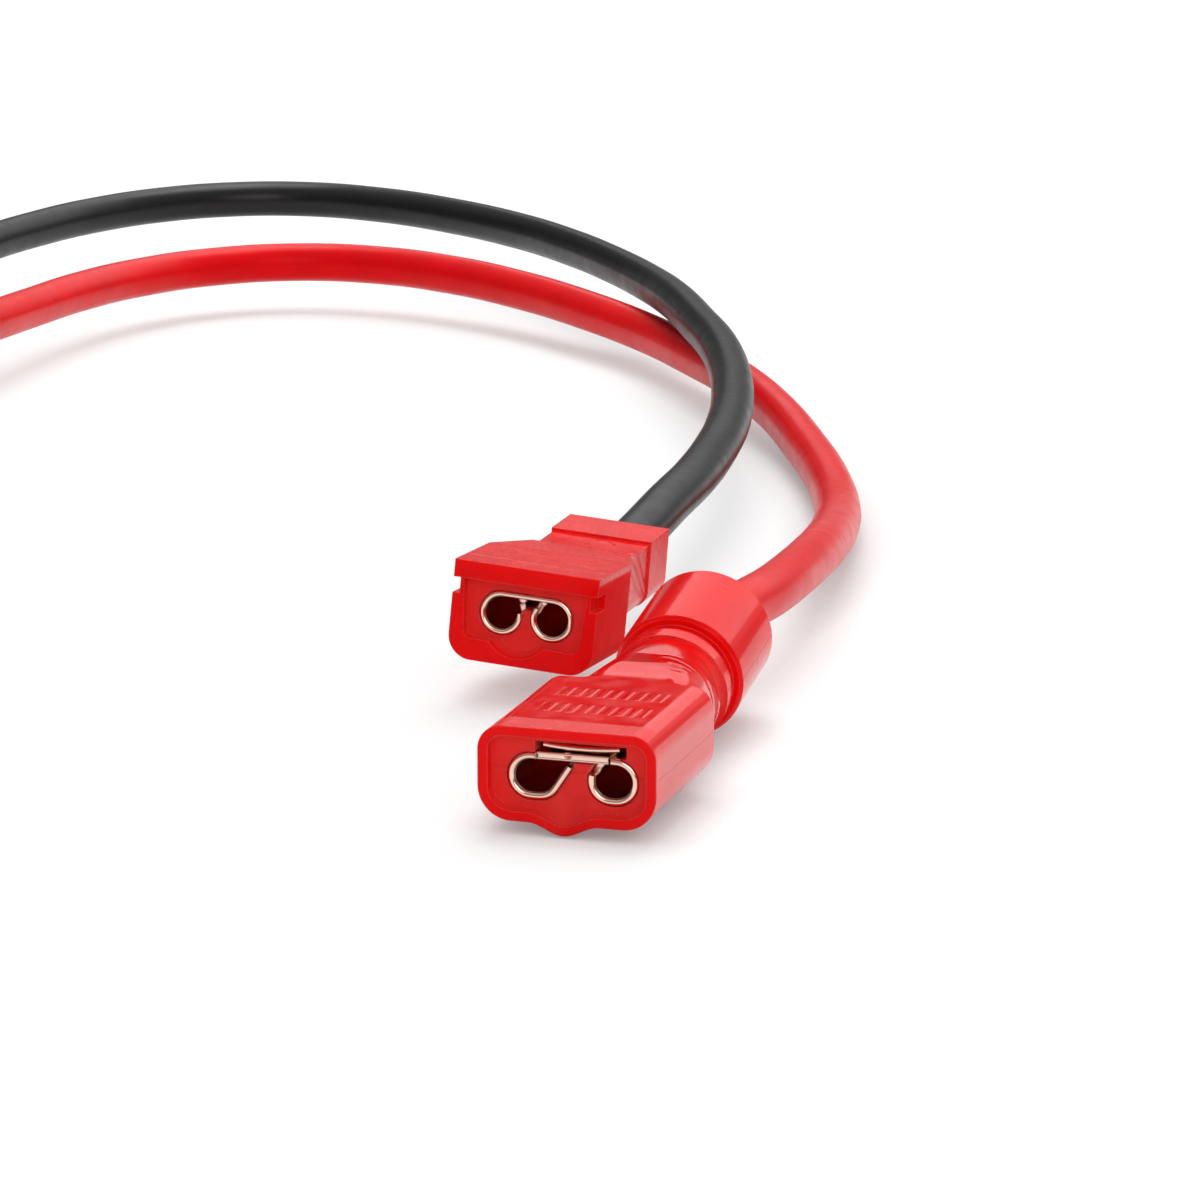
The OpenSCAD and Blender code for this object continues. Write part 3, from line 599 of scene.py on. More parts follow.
class Paint:
    """Makes the materials from the finishes."""

    def __init__(self) -> None:
        self.patch = patch_group()
        self.skin = moulded_group()
        self.parting = parting_group()
        self.edges = edge_group()
        self.relief = relief_group()
        self.flow = flow_group()

    def own_frame(self, graph: Graph, place: Place) -> bpy.types.NodeSocket:
        """Gives a piece's own coordinates in millimetres.

        Args:
            graph: Graph of the material.
            place: Where the piece's frame lies.

        Returns:
            The coordinates' socket.
        """
        inputs = {
            "Vector": graph.add("ShaderNodeTexCoord").outputs["Object"],
            "Location": [v * MM for v in place.origin],
            "Rotation": [math.radians(v) for v in place.turn],
            "Scale": (MM, MM, MM),
        }
        return graph.add("ShaderNodeMapping", inputs, vector_type="TEXTURE").outputs[0]

    def mask(self, surface: Surface, mark: Mark) -> bpy.types.NodeSocket:
        """Masks a mark.

        Args:
            surface: The surface that has it.
            mark: The mark.

        Returns:
            The mask's socket.
        """
        turned = {
            "Vector": surface.where,
            "Location": mark.centre,
            "Rotation": [math.radians(v) for v in mark.turn],
        }
        own = surface.graph.add("ShaderNodeMapping", turned, vector_type="TEXTURE").outputs[0]
        inputs = {"Vector": own, "Half": mark.half, "Soft": mark.soft, "Radius": mark.radius}
        return surface.graph.group(self.patch, inputs).outputs[0]

    def add_mark(self, surface: Surface, mark: Mark) -> None:
        """Adds a mark to a surface.

        Args:
            surface: The surface.
            mark: The mark.
        """
        mask = self.mask(surface, mark)
        if mark.height:
            surface.lift(mask, mark.height)
        if mark.matt:
            surface.roughen(mask, mark.matt)
        if mark.painted_sheen:
            surface.painted_sheen(mask, mark.painted_sheen)
        if mark.shade:
            surface.darken(mask, mark.shade)

    def add_parting(self, surface: Surface, moulding: Moulding) -> None:
        """Adds the parting line of a moulding to a surface.

        Args:
            surface: The surface.
            moulding: The moulding.
        """
        inputs = {
            "Vector": surface.where,
            "Level": moulding.parting_mm,
            "Start": moulding.start_mm,
            "Bend": moulding.bend_mm,
            "Slope": math.tan(math.radians(moulding.climb_deg)),
            "Width": PARTING_WIDTH_MM,
        }
        line = surface.graph.group(self.parting, inputs).outputs[0]
        surface.lift(line, -PARTING_DEPTH_MM)
        surface.darken(line, PARTING_SHADE)

    def add_relief(self, surface: Surface, moulding: Moulding) -> None:
        """Adds the rows of raised bars of a moulding to a surface.

        Args:
            surface: The surface.
            moulding: The moulding.
        """
        inputs = {
            "Vector": surface.where, "Step": RELIEF_STEP_MM, "Row": RELIEF_ROW_MM, "Soft": RELIEF_SOFT,
        }
        bars = surface.graph.group(self.relief, inputs).outputs[0]
        for row in moulding.relief_rows:
            shown = surface.graph.math("MULTIPLY", bars, self.mask(surface, row))
            surface.lift(shown, moulding.relief_mm)

    def add_flow(self, surface: Surface, moulding: Moulding) -> None:
        """Adds the flow lines of a moulding to a surface.

        Args:
            surface: The surface.
            moulding: The moulding.
        """
        lines = surface.graph.group(self.flow, {"Vector": surface.where}).outputs[0]
        shown = surface.graph.math("MULTIPLY", lines, self.mask(surface, moulding.flow_patch))
        surface.lift(shown, moulding.flow_mm)

    def feed(self, body: bpy.types.Node, surface: Surface, finish: Finish) -> None:
        """Feeds a surface and its finish to the material's shader.

        Args:
            body: The shader.
            surface: The surface.
            finish: The finish.
        """
        graph = surface.graph
        colour = surface.shaded()
        bump = graph.add("ShaderNodeBump", {"Height": surface.height, "Strength": 1.0, "Distance": MM})
        if finish.edge_mm:
            rounded = graph.add("ShaderNodeBevel", {"Radius": finish.edge_mm * MM}, samples=EDGE_SAMPLES)
            soft = rounded.outputs[0]
            graph.set(bump, "Normal", soft)
            # The edges get a paler colour painted on as a highlight.
            if finish.edge_highlight_colour is not None:
                own = graph.add("ShaderNodeNewGeometry").outputs["Normal"]
                edges = graph.group(self.edges, {"Normal": own, "Soft": soft})
                colour = graph.mix(edges.outputs[0], colour, (*finish.edge_highlight_colour, 1.0))
        looks = {
            "Base Color": colour,
            "Roughness": surface.rough,
            "Metallic": finish.metallic,
            "Specular IOR Level": finish.specular,
            "Specular Tint": (*finish.tint, 1.0),
            "Subsurface Weight": finish.glow,
            "Subsurface Radius": finish.colour,
            "Subsurface Scale": GLOW_DEPTH_MM * MM,
            "Normal": bump.outputs[0],
        }
        for key, value in looks.items():
            graph.set(body, key, value)

    def make(
        self, name: str, finish: Finish, place: Place = Place(), moulding: Moulding = Moulding(),
    ) -> bpy.types.Material:
        """Makes a material.

        Args:
            name: The material's name.
            finish: The finish.
            place: Where the piece's own frame lies.
            moulding: What moulding left on the surface.

        Returns:
            The material.
        """
        material = bpy.data.materials.new(name)
        material.use_nodes = True
        graph = Graph(material.node_tree)
        where = self.own_frame(graph, place)
        plain = {
            "Vector": where,
            "Color": (*finish.colour, 1.0),
            "Roughness": finish.roughness,
            "Grain": finish.grain_mm,
            "Wave": finish.wave_mm,
        }
        surface = Surface(graph, where, graph.group(self.skin, plain))
        for mark in moulding.marks:
            self.add_mark(surface, mark)
        if moulding.parting_mm is not None:
            self.add_parting(surface, moulding)
        if moulding.relief_rows:
            self.add_relief(surface, moulding)
        if moulding.flow_patch is not None:
            self.add_flow(surface, moulding)
        self.feed(material.node_tree.nodes["Principled BSDF"], surface, finish)
        return material


# Camera, light and floor


@dataclass(frozen=True)
class View:
    """The photograph's camera.

    Args:
        at_mm: Its place.
        heading_deg: Turn to the left of +Y.
        down_deg: How far it looks down.
        lens_mm: Its lens.
        sensor_mm: Width of its sensor.
        clip: Nearest and farthest distance that it sees, in metres.
    """

    at_mm: Point = (68.93, -222.14, 62.86)
    heading_deg: float = 17.21
    down_deg: float = 13.71
    lens_mm: float = 156.6
    sensor_mm: float = 36.0
    clip: Span = (0.01, 20.0)

    def build(self) -> bpy.types.Object:
        """Makes the camera and sets it as the scene's.

        Returns:
            The camera.
        """
        data = bpy.data.cameras.new("camera")
        data.lens = self.lens_mm
        data.sensor_width = self.sensor_mm
        data.clip_start, data.clip_end = self.clip
        camera = bpy.data.objects.new("camera", data)
        camera.location = Vector(self.at_mm) * MM
        turn = (math.radians(90.0 - self.down_deg), 0.0, math.radians(self.heading_deg))
        camera.rotation_euler = Euler(turn)
        bpy.context.scene.collection.objects.link(camera)
        bpy.context.scene.camera = camera
        return camera


@dataclass(frozen=True)
class Lamp:
    """A soft area lamp.

    Args:
        name: Its name.
        at: Its place in metres.
        aim: Where it points, in metres.
        size: Width and height in metres.
        watts: Its power.
    """

    name: str
    at: Point
    aim: Point
    size: Span
    watts: float

    def build(self) -> bpy.types.Object:
        """Makes the lamp.

        Returns:
            The lamp.
        """
        data = bpy.data.lights.new(self.name, "AREA")
        data.shape = "RECTANGLE"
        data.size, data.size_y = self.size
        data.energy = self.watts
        lamp = bpy.data.objects.new(self.name, data)
        lamp.location = self.at
        toward = Vector(self.aim) - Vector(self.at)
        lamp.rotation_euler = toward.to_track_quat("-Z", "Y").to_euler()
        bpy.context.scene.collection.objects.link(lamp)
        return lamp


LAMPS = (
    Lamp("overhead", at=(-0.05, 0.28, 0.56), aim=(0.0, 0.01, 0.0), size=(0.40, 0.40), watts=2.25),
    Lamp("behind", at=(0.23, 0.90, 0.64), aim=(0.23, 0.0, 0.64), size=(1.34, 0.70), watts=3.3),
    Lamp("front", at=(0.28, -0.62, 0.32), aim=(0.0, 0.0, 0.0), size=(0.60, 0.40), watts=1.6),
)


@dataclass(frozen=True)
class Studio:
    """Floor and surrounding light.

    Args:
        floor_half: Half width of the floor in metres.
        lit: Share of the floor's white that takes cast shadow.
        contact: Share of the rest that darkens where something stands close.
        contact_mm: Distance over which it darkens.
        contact_samples: Samples of that darkening.
        bounce: Grey of the floor for light that bounces.
        horizon: Light from behind at the horizon.
        gap: Light from behind just under the large lamp, on its left.
        flank: Light at that height on its right.
        front: Light from in front at the horizon.
        zenith: Light from above.
        flank_x: Where the light on the left turns into that on the right, as X of a direction.
        gap_z: Where the horizon turns into the gap, as Z of a direction.
        turn_y: Where the front turns into the back, as Y of a direction.
        rise_z: Where the low light turns into that from above, as Z of a direction.
    """

    floor_half: float = 4.0
    lit: float = 0.42
    contact: float = 0.65
    contact_mm: float = 2.4
    contact_samples: int = 4
    bounce: float = 0.80
    horizon: float = 0.30
    gap: float = 0.05
    flank: float = 0.55
    front: float = 0.22
    zenith: float = 0.58
    flank_x: Span = (0.0, 0.35)
    gap_z: Span = (0.13, 0.19)
    turn_y: Span = (-0.6, 0.5)
    rise_z: Span = (0.27, 0.9)

    def floor(self) -> bpy.types.Object:
        """Makes the floor.

        Returns:
            The floor.
        """
        h = self.floor_half
        mesh = bpy.data.meshes.new("floor")
        mesh.from_pydata([(-h, -h, 0), (h, -h, 0), (h, h, 0), (-h, h, 0)], [], [(0, 1, 2, 3)])
        floor = bpy.data.objects.new("floor", mesh)
        bpy.context.scene.collection.objects.link(floor)
        material = bpy.data.materials.new("floor_white")
        material.use_nodes = True
        nodes = material.node_tree.nodes
        nodes.remove(nodes["Principled BSDF"])
        graph = Graph(material.node_tree)
        path = graph.add("ShaderNodeLightPath").outputs
        seen = graph.math("MAXIMUM", path["Is Camera Ray"], path["Is Glossy Ray"])
        seen = graph.math("MAXIMUM", seen, path["Is Transmission Ray"])
        grey = graph.ramp(seen, 0.0, 1.0, self.bounce, self.lit)
        diffuse = graph.add("ShaderNodeBsdfDiffuse", {"Color": grey})
        reach = {"Distance": self.contact_mm * MM}
        near = graph.add("ShaderNodeAmbientOcclusion", reach, samples=self.contact_samples)
        close = graph.math("SUBTRACT", 1.0, near.outputs["AO"])
        white = graph.math("MULTIPLY_ADD", close, -self.contact, 1.0)
        lift = graph.math("MULTIPLY", graph.math("MULTIPLY", seen, white), 1.0 - self.lit)
        glow = graph.add("ShaderNodeEmission", {"Strength": lift})
        both = graph.add("ShaderNodeAddShader", {0: diffuse.outputs[0], 1: glow.outputs[0]})
        graph.set(nodes["Material Output"], "Surface", both.outputs[0])
        mesh.materials.append(material)
        floor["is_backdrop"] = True
        return floor

    def world(self) -> None:
        """Makes the surrounding light: bright above, pale behind, dimmer in front."""
        world = bpy.data.worlds.new("studio")
        world.use_nodes = True
        bpy.context.scene.world = world
        graph = Graph(world.node_tree)
        ray = graph.add("ShaderNodeTexCoord").outputs["Generated"]
        split = graph.add("ShaderNodeSeparateXYZ", {0: ray}).outputs
        band = graph.ramp(split[0], *self.flank_x, self.gap, self.flank)
        back = graph.blend(graph.ramp(split[2], *self.gap_z, 0.0, 1.0), self.horizon, band)
        side = graph.ramp(split[1], *self.turn_y, 0.0, 1.0)
        low = graph.blend(side, self.front, back)
        rise = graph.ramp(split[2], *self.rise_z, 0.0, 1.0)
        light = graph.blend(rise, low, self.zenith)
        background = world.node_tree.nodes["Background"]
        graph.set(background, "Strength", light)
        graph.set(background, "Color", (1.0, 1.0, 1.0, 1.0))

    def build(self) -> None:
        """Makes the floor and the surrounding light."""
        self.floor()
        self.world()
        bpy.context.scene.view_settings.view_transform = "Standard"


# Wires


WIRE_STEPS = 12
WIRE_ROUNDNESS = 8


@dataclass(frozen=True)
class Wire:
    """A jacketed wire from a socket to the plug.

    Args:
        name: Name of the piece.
        node: CAD node that it stands for.
        diameter_mm: Outside diameter.
        length_mm: Real length of the wire; not used.
        exit_mm: Where it leaves its socket; not used.
        route_mm: Points of its centreline.
        finish: Finish of its jacket.
        carries: CAD nodes on its far end, gathered into a list that nothing uses further.
        holds_plug: Whether the plug's trim is added to that list.
    """

    name: str
    node: str
    diameter_mm: float
    length_mm: float
    exit_mm: Point
    route_mm: tuple[Point, ...]
    finish: Finish
    carries: tuple[str, ...]
    holds_plug: bool = False

    def build(self, paint: Paint, trim: Sequence[bpy.types.Object]) -> bpy.types.Object:
        """Args:
            paint: Maker of the materials.
            trim: Trim of the plug.

        Returns:
            The wire.
        """
        data = bpy.data.curves.new(self.name, "CURVE")
        data.dimensions = "3D"
        data.resolution_u = WIRE_STEPS
        data.bevel_depth = self.diameter_mm / 2 * MM
        data.bevel_resolution = WIRE_ROUNDNESS
        data.use_fill_caps = True
        spline = data.splines.new("BEZIER")
        spline.bezier_points.add(len(self.route_mm) - 1)
        for point, place in zip(spline.bezier_points, self.route_mm):
            point.co = Vector(place) * MM
            point.handle_left_type = "AUTO"
            point.handle_right_type = "AUTO"
        wire = bpy.data.objects.new(self.name, data)
        bpy.context.scene.collection.objects.link(wire)
        data.materials.append(paint.make(self.name + "_jacket", self.finish))
        carried = [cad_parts[name] for name in self.carries]
        if self.holds_plug:
            carried.extend(trim)
        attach(wire, "root")
        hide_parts(self.node)
        return wire


RED_ROUTE = (
    (4.1, -1.8, 2.76), (4.1, 2.66, 3.63), (4.4, 8.5, 4), (4.7, 12.7, 3.9), (4.5, 18.2, 3.6),
    (4, 23.5, 3.2), (3.2, 29, 2.6), (2, 35.4, 1.9), (0.4, 42.1, 1.32), (-2, 49.1, 1.32),
    (-5.3, 56.6, 1.5), (-9, 63.7, 1.9), (-13.1, 70.2, 2.2), (-17.6, 76.3, 2.3), (-22.6, 82.4, 2.4),
    (-27.9, 87, 2.7), (-33.5, 91.2, 2.9), (-39, 94, 3.1), (-44.8, 95.5, 3.2), (-50.3, 94.9, 3.2),
    (-54.8, 91.6, 3.2), (-57.6, 86.1, 3.3), (-58.9, 79.2, 3.5), (-59.2, 72.2, 3.7),
    (-59.1, 65.3, 4), (-59, 58.5, 4.3), (-58.9, 53, 4.5), (-58.9, 48.2, 4.5), (-58.9, 44.2, 4.5),
)
BLACK_ROUTE = (
    (-4.47, 14.79, 3.95), (-4.48, 17.74, 3.97), (-4.5, 21.5, 4.2), (-4.7, 27.2, 4.5), (-5, 33, 4.6),
    (-5.8, 39.6, 4.6), (-6.9, 46.2, 4.7), (-8.5, 52.8, 4.8), (-10.6, 59.6, 4.9), (-13.3, 66.5, 5),
    (-16.2, 72.6, 5), (-19.5, 79.2, 5), (-23.4, 86.1, 4.8), (-27.6, 92.2, 4.7), (-32.2, 98, 4.6),
    (-37.6, 103.6, 4.5), (-43.8, 108, 4.5), (-50.1, 110.9, 4.5), (-55.8, 111.6, 4.5),
    (-60.6, 109.9, 4.5), (-64.3, 106.3, 4.5), (-67, 101, 4.5), (-68.6, 94.6, 4.5), (-69.4, 87.5, 4.5),
    (-69.5, 80, 4.5), (-69, 72.5, 4.5), (-68.2, 65.5, 4.5), (-67.4, 58.5, 4.5), (-66.9, 53, 4.5),
    (-66.9, 48.2, 4.5), (-66.9, 44.2, 4.5),
)
WIRES = (
    Wire(
        "red_wire_jacket", "red_wire",
        diameter_mm=2.5, length_mm=177.0, exit_mm=(4.1, 4.43, 3.98), route_mm=RED_ROUTE, finish=RED_JACKET,
        carries=("plug_housing", "plug_contact_red", "red_conductor_plug_end"), holds_plug=True,
    ),
    Wire(
        "black_wire_jacket", "black_wire",
        diameter_mm=2.4, length_mm=191.5, exit_mm=(-4.48, 17.74, 3.97), route_mm=BLACK_ROUTE,
        finish=BLACK_JACKET, carries=("plug_contact_black", "black_conductor_plug_end"),
    ),
)


# Sockets and plug


WELD_M = 2e-6
FLAT_DEG = 0.6
FACE_WEIGHT = 60


@dataclass(frozen=True)
class Rounding:
    """Rounded edges on a CAD node.

    Args:
        width_mm: Width of the rounding.
        segments: Number of its steps.
        angle_deg: Edges sharper than this are rounded.
    """

    width_mm: float
    segments: int = 3
    angle_deg: float = 32.0

    def apply(self, piece: bpy.types.Object) -> None:
        """Adds the modifiers to a piece.

        Args:
            piece: The CAD node's object.
        """
        weld = piece.modifiers.new("weld", "WELD")
        weld.merge_threshold = WELD_M
        flat = piece.modifiers.new("flat", "DECIMATE")
        flat.decimate_type = "DISSOLVE"
        flat.angle_limit = math.radians(FLAT_DEG)
        bevel = piece.modifiers.new("round", "BEVEL")
        bevel.width = self.width_mm * MM
        bevel.segments = self.segments
        bevel.limit_method = "ANGLE"
        bevel.angle_limit = math.radians(self.angle_deg)
        bevel.use_clamp_overlap = False
        bevel.miter_outer = "MITER_ARC"
        normals = piece.modifiers.new("normals", "WEIGHTED_NORMAL")
        normals.weight = FACE_WEIGHT
        normals.keep_sharp = False


STRAND_EDGE = Rounding(0.05, 2)
CONTACT_EDGE = Rounding(0.1, 2)


def smooth_group(angle_deg: float) -> bpy.types.NodeTree:
    """Makes the geometry group that shades faces smoothly up to an angle.

    Args:
        angle_deg: Edges sharper than this stay sharp.

    Returns:
        The group.
    """
    tree = bpy.data.node_groups.new("SmoothFaces", "GeometryNodeTree")
    for side in ("INPUT", "OUTPUT"):
        tree.interface.new_socket(name="Geometry", in_out=side, socket_type="NodeSocketGeometry")
    graph = Graph(tree)
    taken = graph.add("NodeGroupInput").outputs[0]
    stored = {"Geometry": taken, "Name": "custom_normal"}
    plain = graph.add("GeometryNodeRemoveAttribute", stored).outputs[0]
    faces = {"Geometry": plain, "Shade Smooth": True}
    smooth = graph.add("GeometryNodeSetShadeSmooth", faces, domain="FACE").outputs[0]
    angle = graph.add("GeometryNodeInputMeshEdgeAngle").outputs[0]
    keen = graph.math("GREATER_THAN", angle, math.radians(angle_deg))
    sharp = {"Geometry": smooth, "Selection": keen, "Shade Smooth": False}
    creased = graph.add("GeometryNodeSetShadeSmooth", sharp, domain="EDGE").outputs[0]
    graph.set(graph.add("NodeGroupOutput"), 0, creased)
    return tree


@dataclass(frozen=True)
class Smoothing:
    """Smooth shading on a moulded CAD node.

    Args:
        angle_deg: Edges sharper than this stay sharp.
    """

    angle_deg: float = 26.0

    def apply(self, piece: bpy.types.Object) -> None:
        """Adds the modifiers to a piece.

        Args:
            piece: The CAD node's object.
        """
        weld = piece.modifiers.new("weld", "WELD")
        weld.merge_threshold = WELD_M
        smooth = piece.modifiers.new("smooth", "NODES")
        smooth.node_group = smooth_group(self.angle_deg)
        normals = piece.modifiers.new("normals", "WEIGHTED_NORMAL")
        normals.weight = FACE_WEIGHT
        normals.keep_sharp = True


def dress(
    node: str, material: bpy.types.Material, shaping: Union[Rounding, Smoothing],
) -> bpy.types.Object:
    """Gives a CAD node its material and its rounded or smoothly shaded edges.

    Args:
        node: Name of the node.
        material: Its material.
        shaping: Its rounding or its smoothing.

    Returns:
        The node's object.
    """
    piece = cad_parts[node]
    piece.data.materials.clear()
    piece.data.materials.append(material)
    shaping.apply(piece)
    return piece


ARC_STEP_DEG = 6.0
BEAD_ROUNDNESS = 5


def arc(centre: float, radius: float, start_deg: float, end_deg: float) -> tuple[Spot, ...]:
    """Lists points on an arc in front view.

    Args:
        centre: X of its centre, which lies at Z = 0.
        radius: Its radius.
        start_deg: Angle at which it starts, from +X.
        end_deg: Angle at which it ends.

    Returns:
        The points as X and Z.
    """
    count = max(2, round(abs(end_deg - start_deg) / ARC_STEP_DEG))
    angles = [math.radians(start_deg + (end_deg - start_deg) * i / count) for i in range(count + 1)]
    return tuple((centre + radius * math.cos(a), radius * math.sin(a)) for a in angles)


@dataclass(frozen=True)
class Beading:
    """Round edges or ribs that follow lines on a piece.

    Args:
        name: Name of the piece.
        lines: Lines along their middle in the piece's own millimetres.
        thick_mm: Thickness.
        finish: Their finish.
    """

    name: str
    lines: tuple[tuple[Point, ...], ...]
    thick_mm: float
    finish: Finish

    def build(self, paint: Paint, place: Place = Place()) -> bpy.types.Object:
        """Makes the beading.

        Args:
            paint: Maker of the materials.
            place: Where the piece's own frame lies.

        Returns:
            The beading.
        """
        data = bpy.data.curves.new(self.name, "CURVE")
        data.dimensions = "3D"
        data.bevel_depth = self.thick_mm / 2 * MM
        data.bevel_resolution = BEAD_ROUNDNESS
        data.use_fill_caps = True
        turn = Euler([math.radians(v) for v in place.turn]).to_matrix()
        for line in self.lines:
            spline = data.splines.new("POLY")
            spline.points.add(len(line) - 1)
            for point, own in zip(spline.points, line):
                point.co = (*((turn @ Vector(own) + Vector(place.origin)) * MM), 1.0)
        beading = bpy.data.objects.new(self.name, data)
        bpy.context.scene.collection.objects.link(beading)
        data.materials.append(paint.make(self.name, self.finish))
        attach(beading, "root")
        return beading


def stand(line: Sequence[Spot], y: float, shift: Spot = (0.0, 0.0)) -> tuple[Point, ...]:
    """Places a line of the front view along the piece.

    Args:
        line: Points as X and Z.
        y: Distance along the piece.
        shift: Shift in front view.

    Returns:
        The points.
    """
    return tuple((x + shift[0], y, z + shift[1]) for x, z in line)


@dataclass(frozen=True)
class LargeRims:
    """Front edges of the large receptacle: a roll with a straight leg, a round roll, the tongue, the lance.

    Args:
        sheet_mm: Thickness of the sheet.
        radius_mm: Outer radius of the rolls.
        centre_mm: Distance of the roll centres from the middle.
        left_extra_mm: Straight floor of the left roll.
        right_extra_mm: Straight floor of the right roll.
        leg_deg: Lean of the straight leg.
        leg_mm: Length of the straight leg.
        right_end_deg: Angle at which the right roll ends.
        slit_mm: Distance of the slits from the middle.
        front_mm: Distance of the edges from the mouth.
        shift_mm: Shift in front view.
        tongue_mm: Half width of the tongue.
        lips_mm: Heights of the tongue's edges over the middle of the sheet.
        lip_front_mm: Distance of the tongue's edges from the mouth.
        lip_mm: Thickness of the tongue's edges.
        lance_mm: Half width of the lance.
        lance_shift_mm: Sideways shift of the lance.
        lance_z_mm: Height of the lance.
        lance_front_mm: Distance of the lance's edge from the mouth.
        lance_bow_mm: Radius of the lance's bow.
        lance_sheet_mm: Thickness of the lance.
        lance_steps: Steps along half of the lance.
    """

    sheet_mm: float = 0.32
    radius_mm: float = 1.05
    centre_mm: float = 1.9
    left_extra_mm: float = 0.35
    right_extra_mm: float = 0.2
    leg_deg: float = 57.0
    leg_mm: float = 1.2
    right_end_deg: float = -195.0
    slit_mm: float = 1.70
    front_mm: float = 0.72
    shift_mm: Spot = (0.1, -0.2)
    tongue_mm: float = 1.60
    lips_mm: Span = (-0.06, 0.16)
    lip_front_mm: float = 0.65
    lip_mm: float = 0.1
    lance_mm: float = 1.7
    lance_shift_mm: float = 0.35
    lance_z_mm: float = 1.32
    lance_front_mm: float = 0.83
    lance_bow_mm: float = 14.0
    lance_sheet_mm: float = 0.25
    lance_steps: int = 8

    def rolls(self) -> tuple[tuple[Point, ...], ...]:
        """Draws the lines along the two rolls.

        Returns:
            The lines.
        """
        middle = self.radius_mm - self.sheet_mm / 2
        heel = arc(self.left_extra_mm - self.centre_mm, middle, -90.0, self.leg_deg - 90.0)
        lean = math.radians(self.leg_deg)
        toe = (heel[-1][0] + self.leg_mm * math.cos(lean), heel[-1][1] + self.leg_mm * math.sin(lean))
        left = ((-self.slit_mm, middle),) + arc(-self.centre_mm, middle, 90.0, 270.0) + heel + (toe,)
        inner = arc(self.centre_mm - self.right_extra_mm, middle, -90.0, self.right_end_deg)
        right = ((self.slit_mm, middle),) + arc(self.centre_mm, middle, 90.0, -90.0) + inner
        return tuple(stand(line, self.front_mm, self.shift_mm) for line in (left, right))

    def tongue(self) -> tuple[tuple[Point, ...], ...]:
        """Draws the lines along the tongue's two edges.

        Returns:
            The lines.
        """
        middle = self.radius_mm - self.sheet_mm / 2
        lips = [((-self.tongue_mm, middle + z), (self.tongue_mm, middle + z)) for z in self.lips_mm]
        return tuple(stand(lip, self.lip_front_mm, self.shift_mm) for lip in lips)

    def lance(self) -> tuple[Point, ...]:
        """Draws the line along the bowed lance.

        Returns:
            The line.
        """
        bow = self.lance_bow_mm
        half = self.lance_steps
        offsets = [self.lance_mm * (i / half - 1.0) for i in range(2 * half + 1)]
        crescent = [
            (self.lance_shift_mm + x, self.lance_z_mm + bow - math.sqrt(bow * bow - x * x)) for x in offsets
        ]
        return stand(crescent, self.lance_front_mm, self.shift_mm)

    def draw(self) -> tuple[Beading, ...]:
        """Gives the rims.

        Returns:
            The rims.
        """
        return (
            Beading("large_receptacle_rim", self.rolls(), self.sheet_mm, POLISHED_RIM),
            Beading("large_tongue_rim", self.tongue(), self.lip_mm, POLISHED_RIM),
            Beading("large_lance_rim", (self.lance(),), self.lance_sheet_mm, POLISHED_RIM),
        )


@dataclass(frozen=True)
class SmallRims:
    """Front edge of the small receptacle: two round rolls joined by a bar.

    Args:
        sheet_mm: Thickness of the sheet.
        radius_mm: Outer radius of the rolls.
        centre_mm: Distance of the roll centres from the middle.
        left_end_deg: Angle at which the left roll ends.
        right_end_deg: Angle at which the right roll ends.
        front_mm: Distance of the edge from the mouth.
    """

    sheet_mm: float = 0.27
    radius_mm: float = 1.05
    centre_mm: float = 1.25
    left_end_deg: float = 365.0
    right_end_deg: float = -210.0
    front_mm: float = 0.62

    def draw(self) -> tuple[Beading, ...]:
        """Gives the rim.

        Returns:
            The rim.
        """
        middle = self.radius_mm - self.sheet_mm / 2
        left = arc(-self.centre_mm, middle, self.left_end_deg, 90.0)
        right = arc(self.centre_mm, middle, 90.0, self.right_end_deg)
        line = stand(left + right, self.front_mm)
        return (Beading("small_receptacle_rim", (line,), self.sheet_mm, POLISHED_RIM),)


@dataclass(frozen=True)
class BladeSocket:
    """An insulated blade socket.

    Args:
        prefix: "large" or "small".
        strand: Node of the bared conductor in it.
        place: Where its own frame lies.
        insulation: Finish of its insulator.
        moulding: What moulding left on its insulator.
        rims: Front edges of its receptacle.
    """

    prefix: str
    strand: str
    place: Place
    insulation: Finish
    moulding: Moulding
    rims: tuple[Beading, ...]

    def build(self, paint: Paint) -> None:
        """Dresses the socket's nodes.

        Args:
            paint: Maker of the materials.
        """
        red = paint.make(self.prefix + "_insulation", self.insulation, self.place, self.moulding)
        dress(self.prefix + "_insulator", red, Smoothing())
        metal = paint.make(self.prefix + "_metal", TERMINAL, self.place)
        dress(self.prefix + "_receptacle", metal, Smoothing())
        for rim in self.rims:
            rim.build(paint, self.place)
        dress(self.strand, paint.make(self.strand, STRAND, self.place), STRAND_EDGE)


LARGE_PLACE = Place((4.1, -17.698, 2.708))
SMALL_PLACE = Place((-4.454, 2.604, 4.3), (-4.2, 4.5, 0.0))


def crimp_streaks() -> tuple[Mark, ...]:
    """Lists the streaks that the crimping tool left on the large neck.

    Returns:
        One mark a streak.
    """
    streaks = ((0.7, 12.9, 0.6, 4.0), (1.3, 12.5, 0.75, -5.0), (1.6, 12.0, 0.4, 3.0))
    return tuple(
        Mark((x, y, 2.2), (long, 0.07, 1.0), soft=0.14, height=-0.05, turn=(0.0, 0.0, turn), shade=0.2)
        for x, y, long, turn in streaks
    )


def neck_folds() -> tuple[Mark, ...]:
    """Lists the soft folds round the right of the large neck.

    Returns:
        One mark a fold.
    """
    folds = ((12.8, -14.0), (14.3, -8.0))
    return tuple(
        Mark((2.7, y, 0.3), (1.1, 0.06, 1.6), soft=0.30, height=-0.03, turn=(0.0, 0.0, turn))
        for y, turn in folds
    )


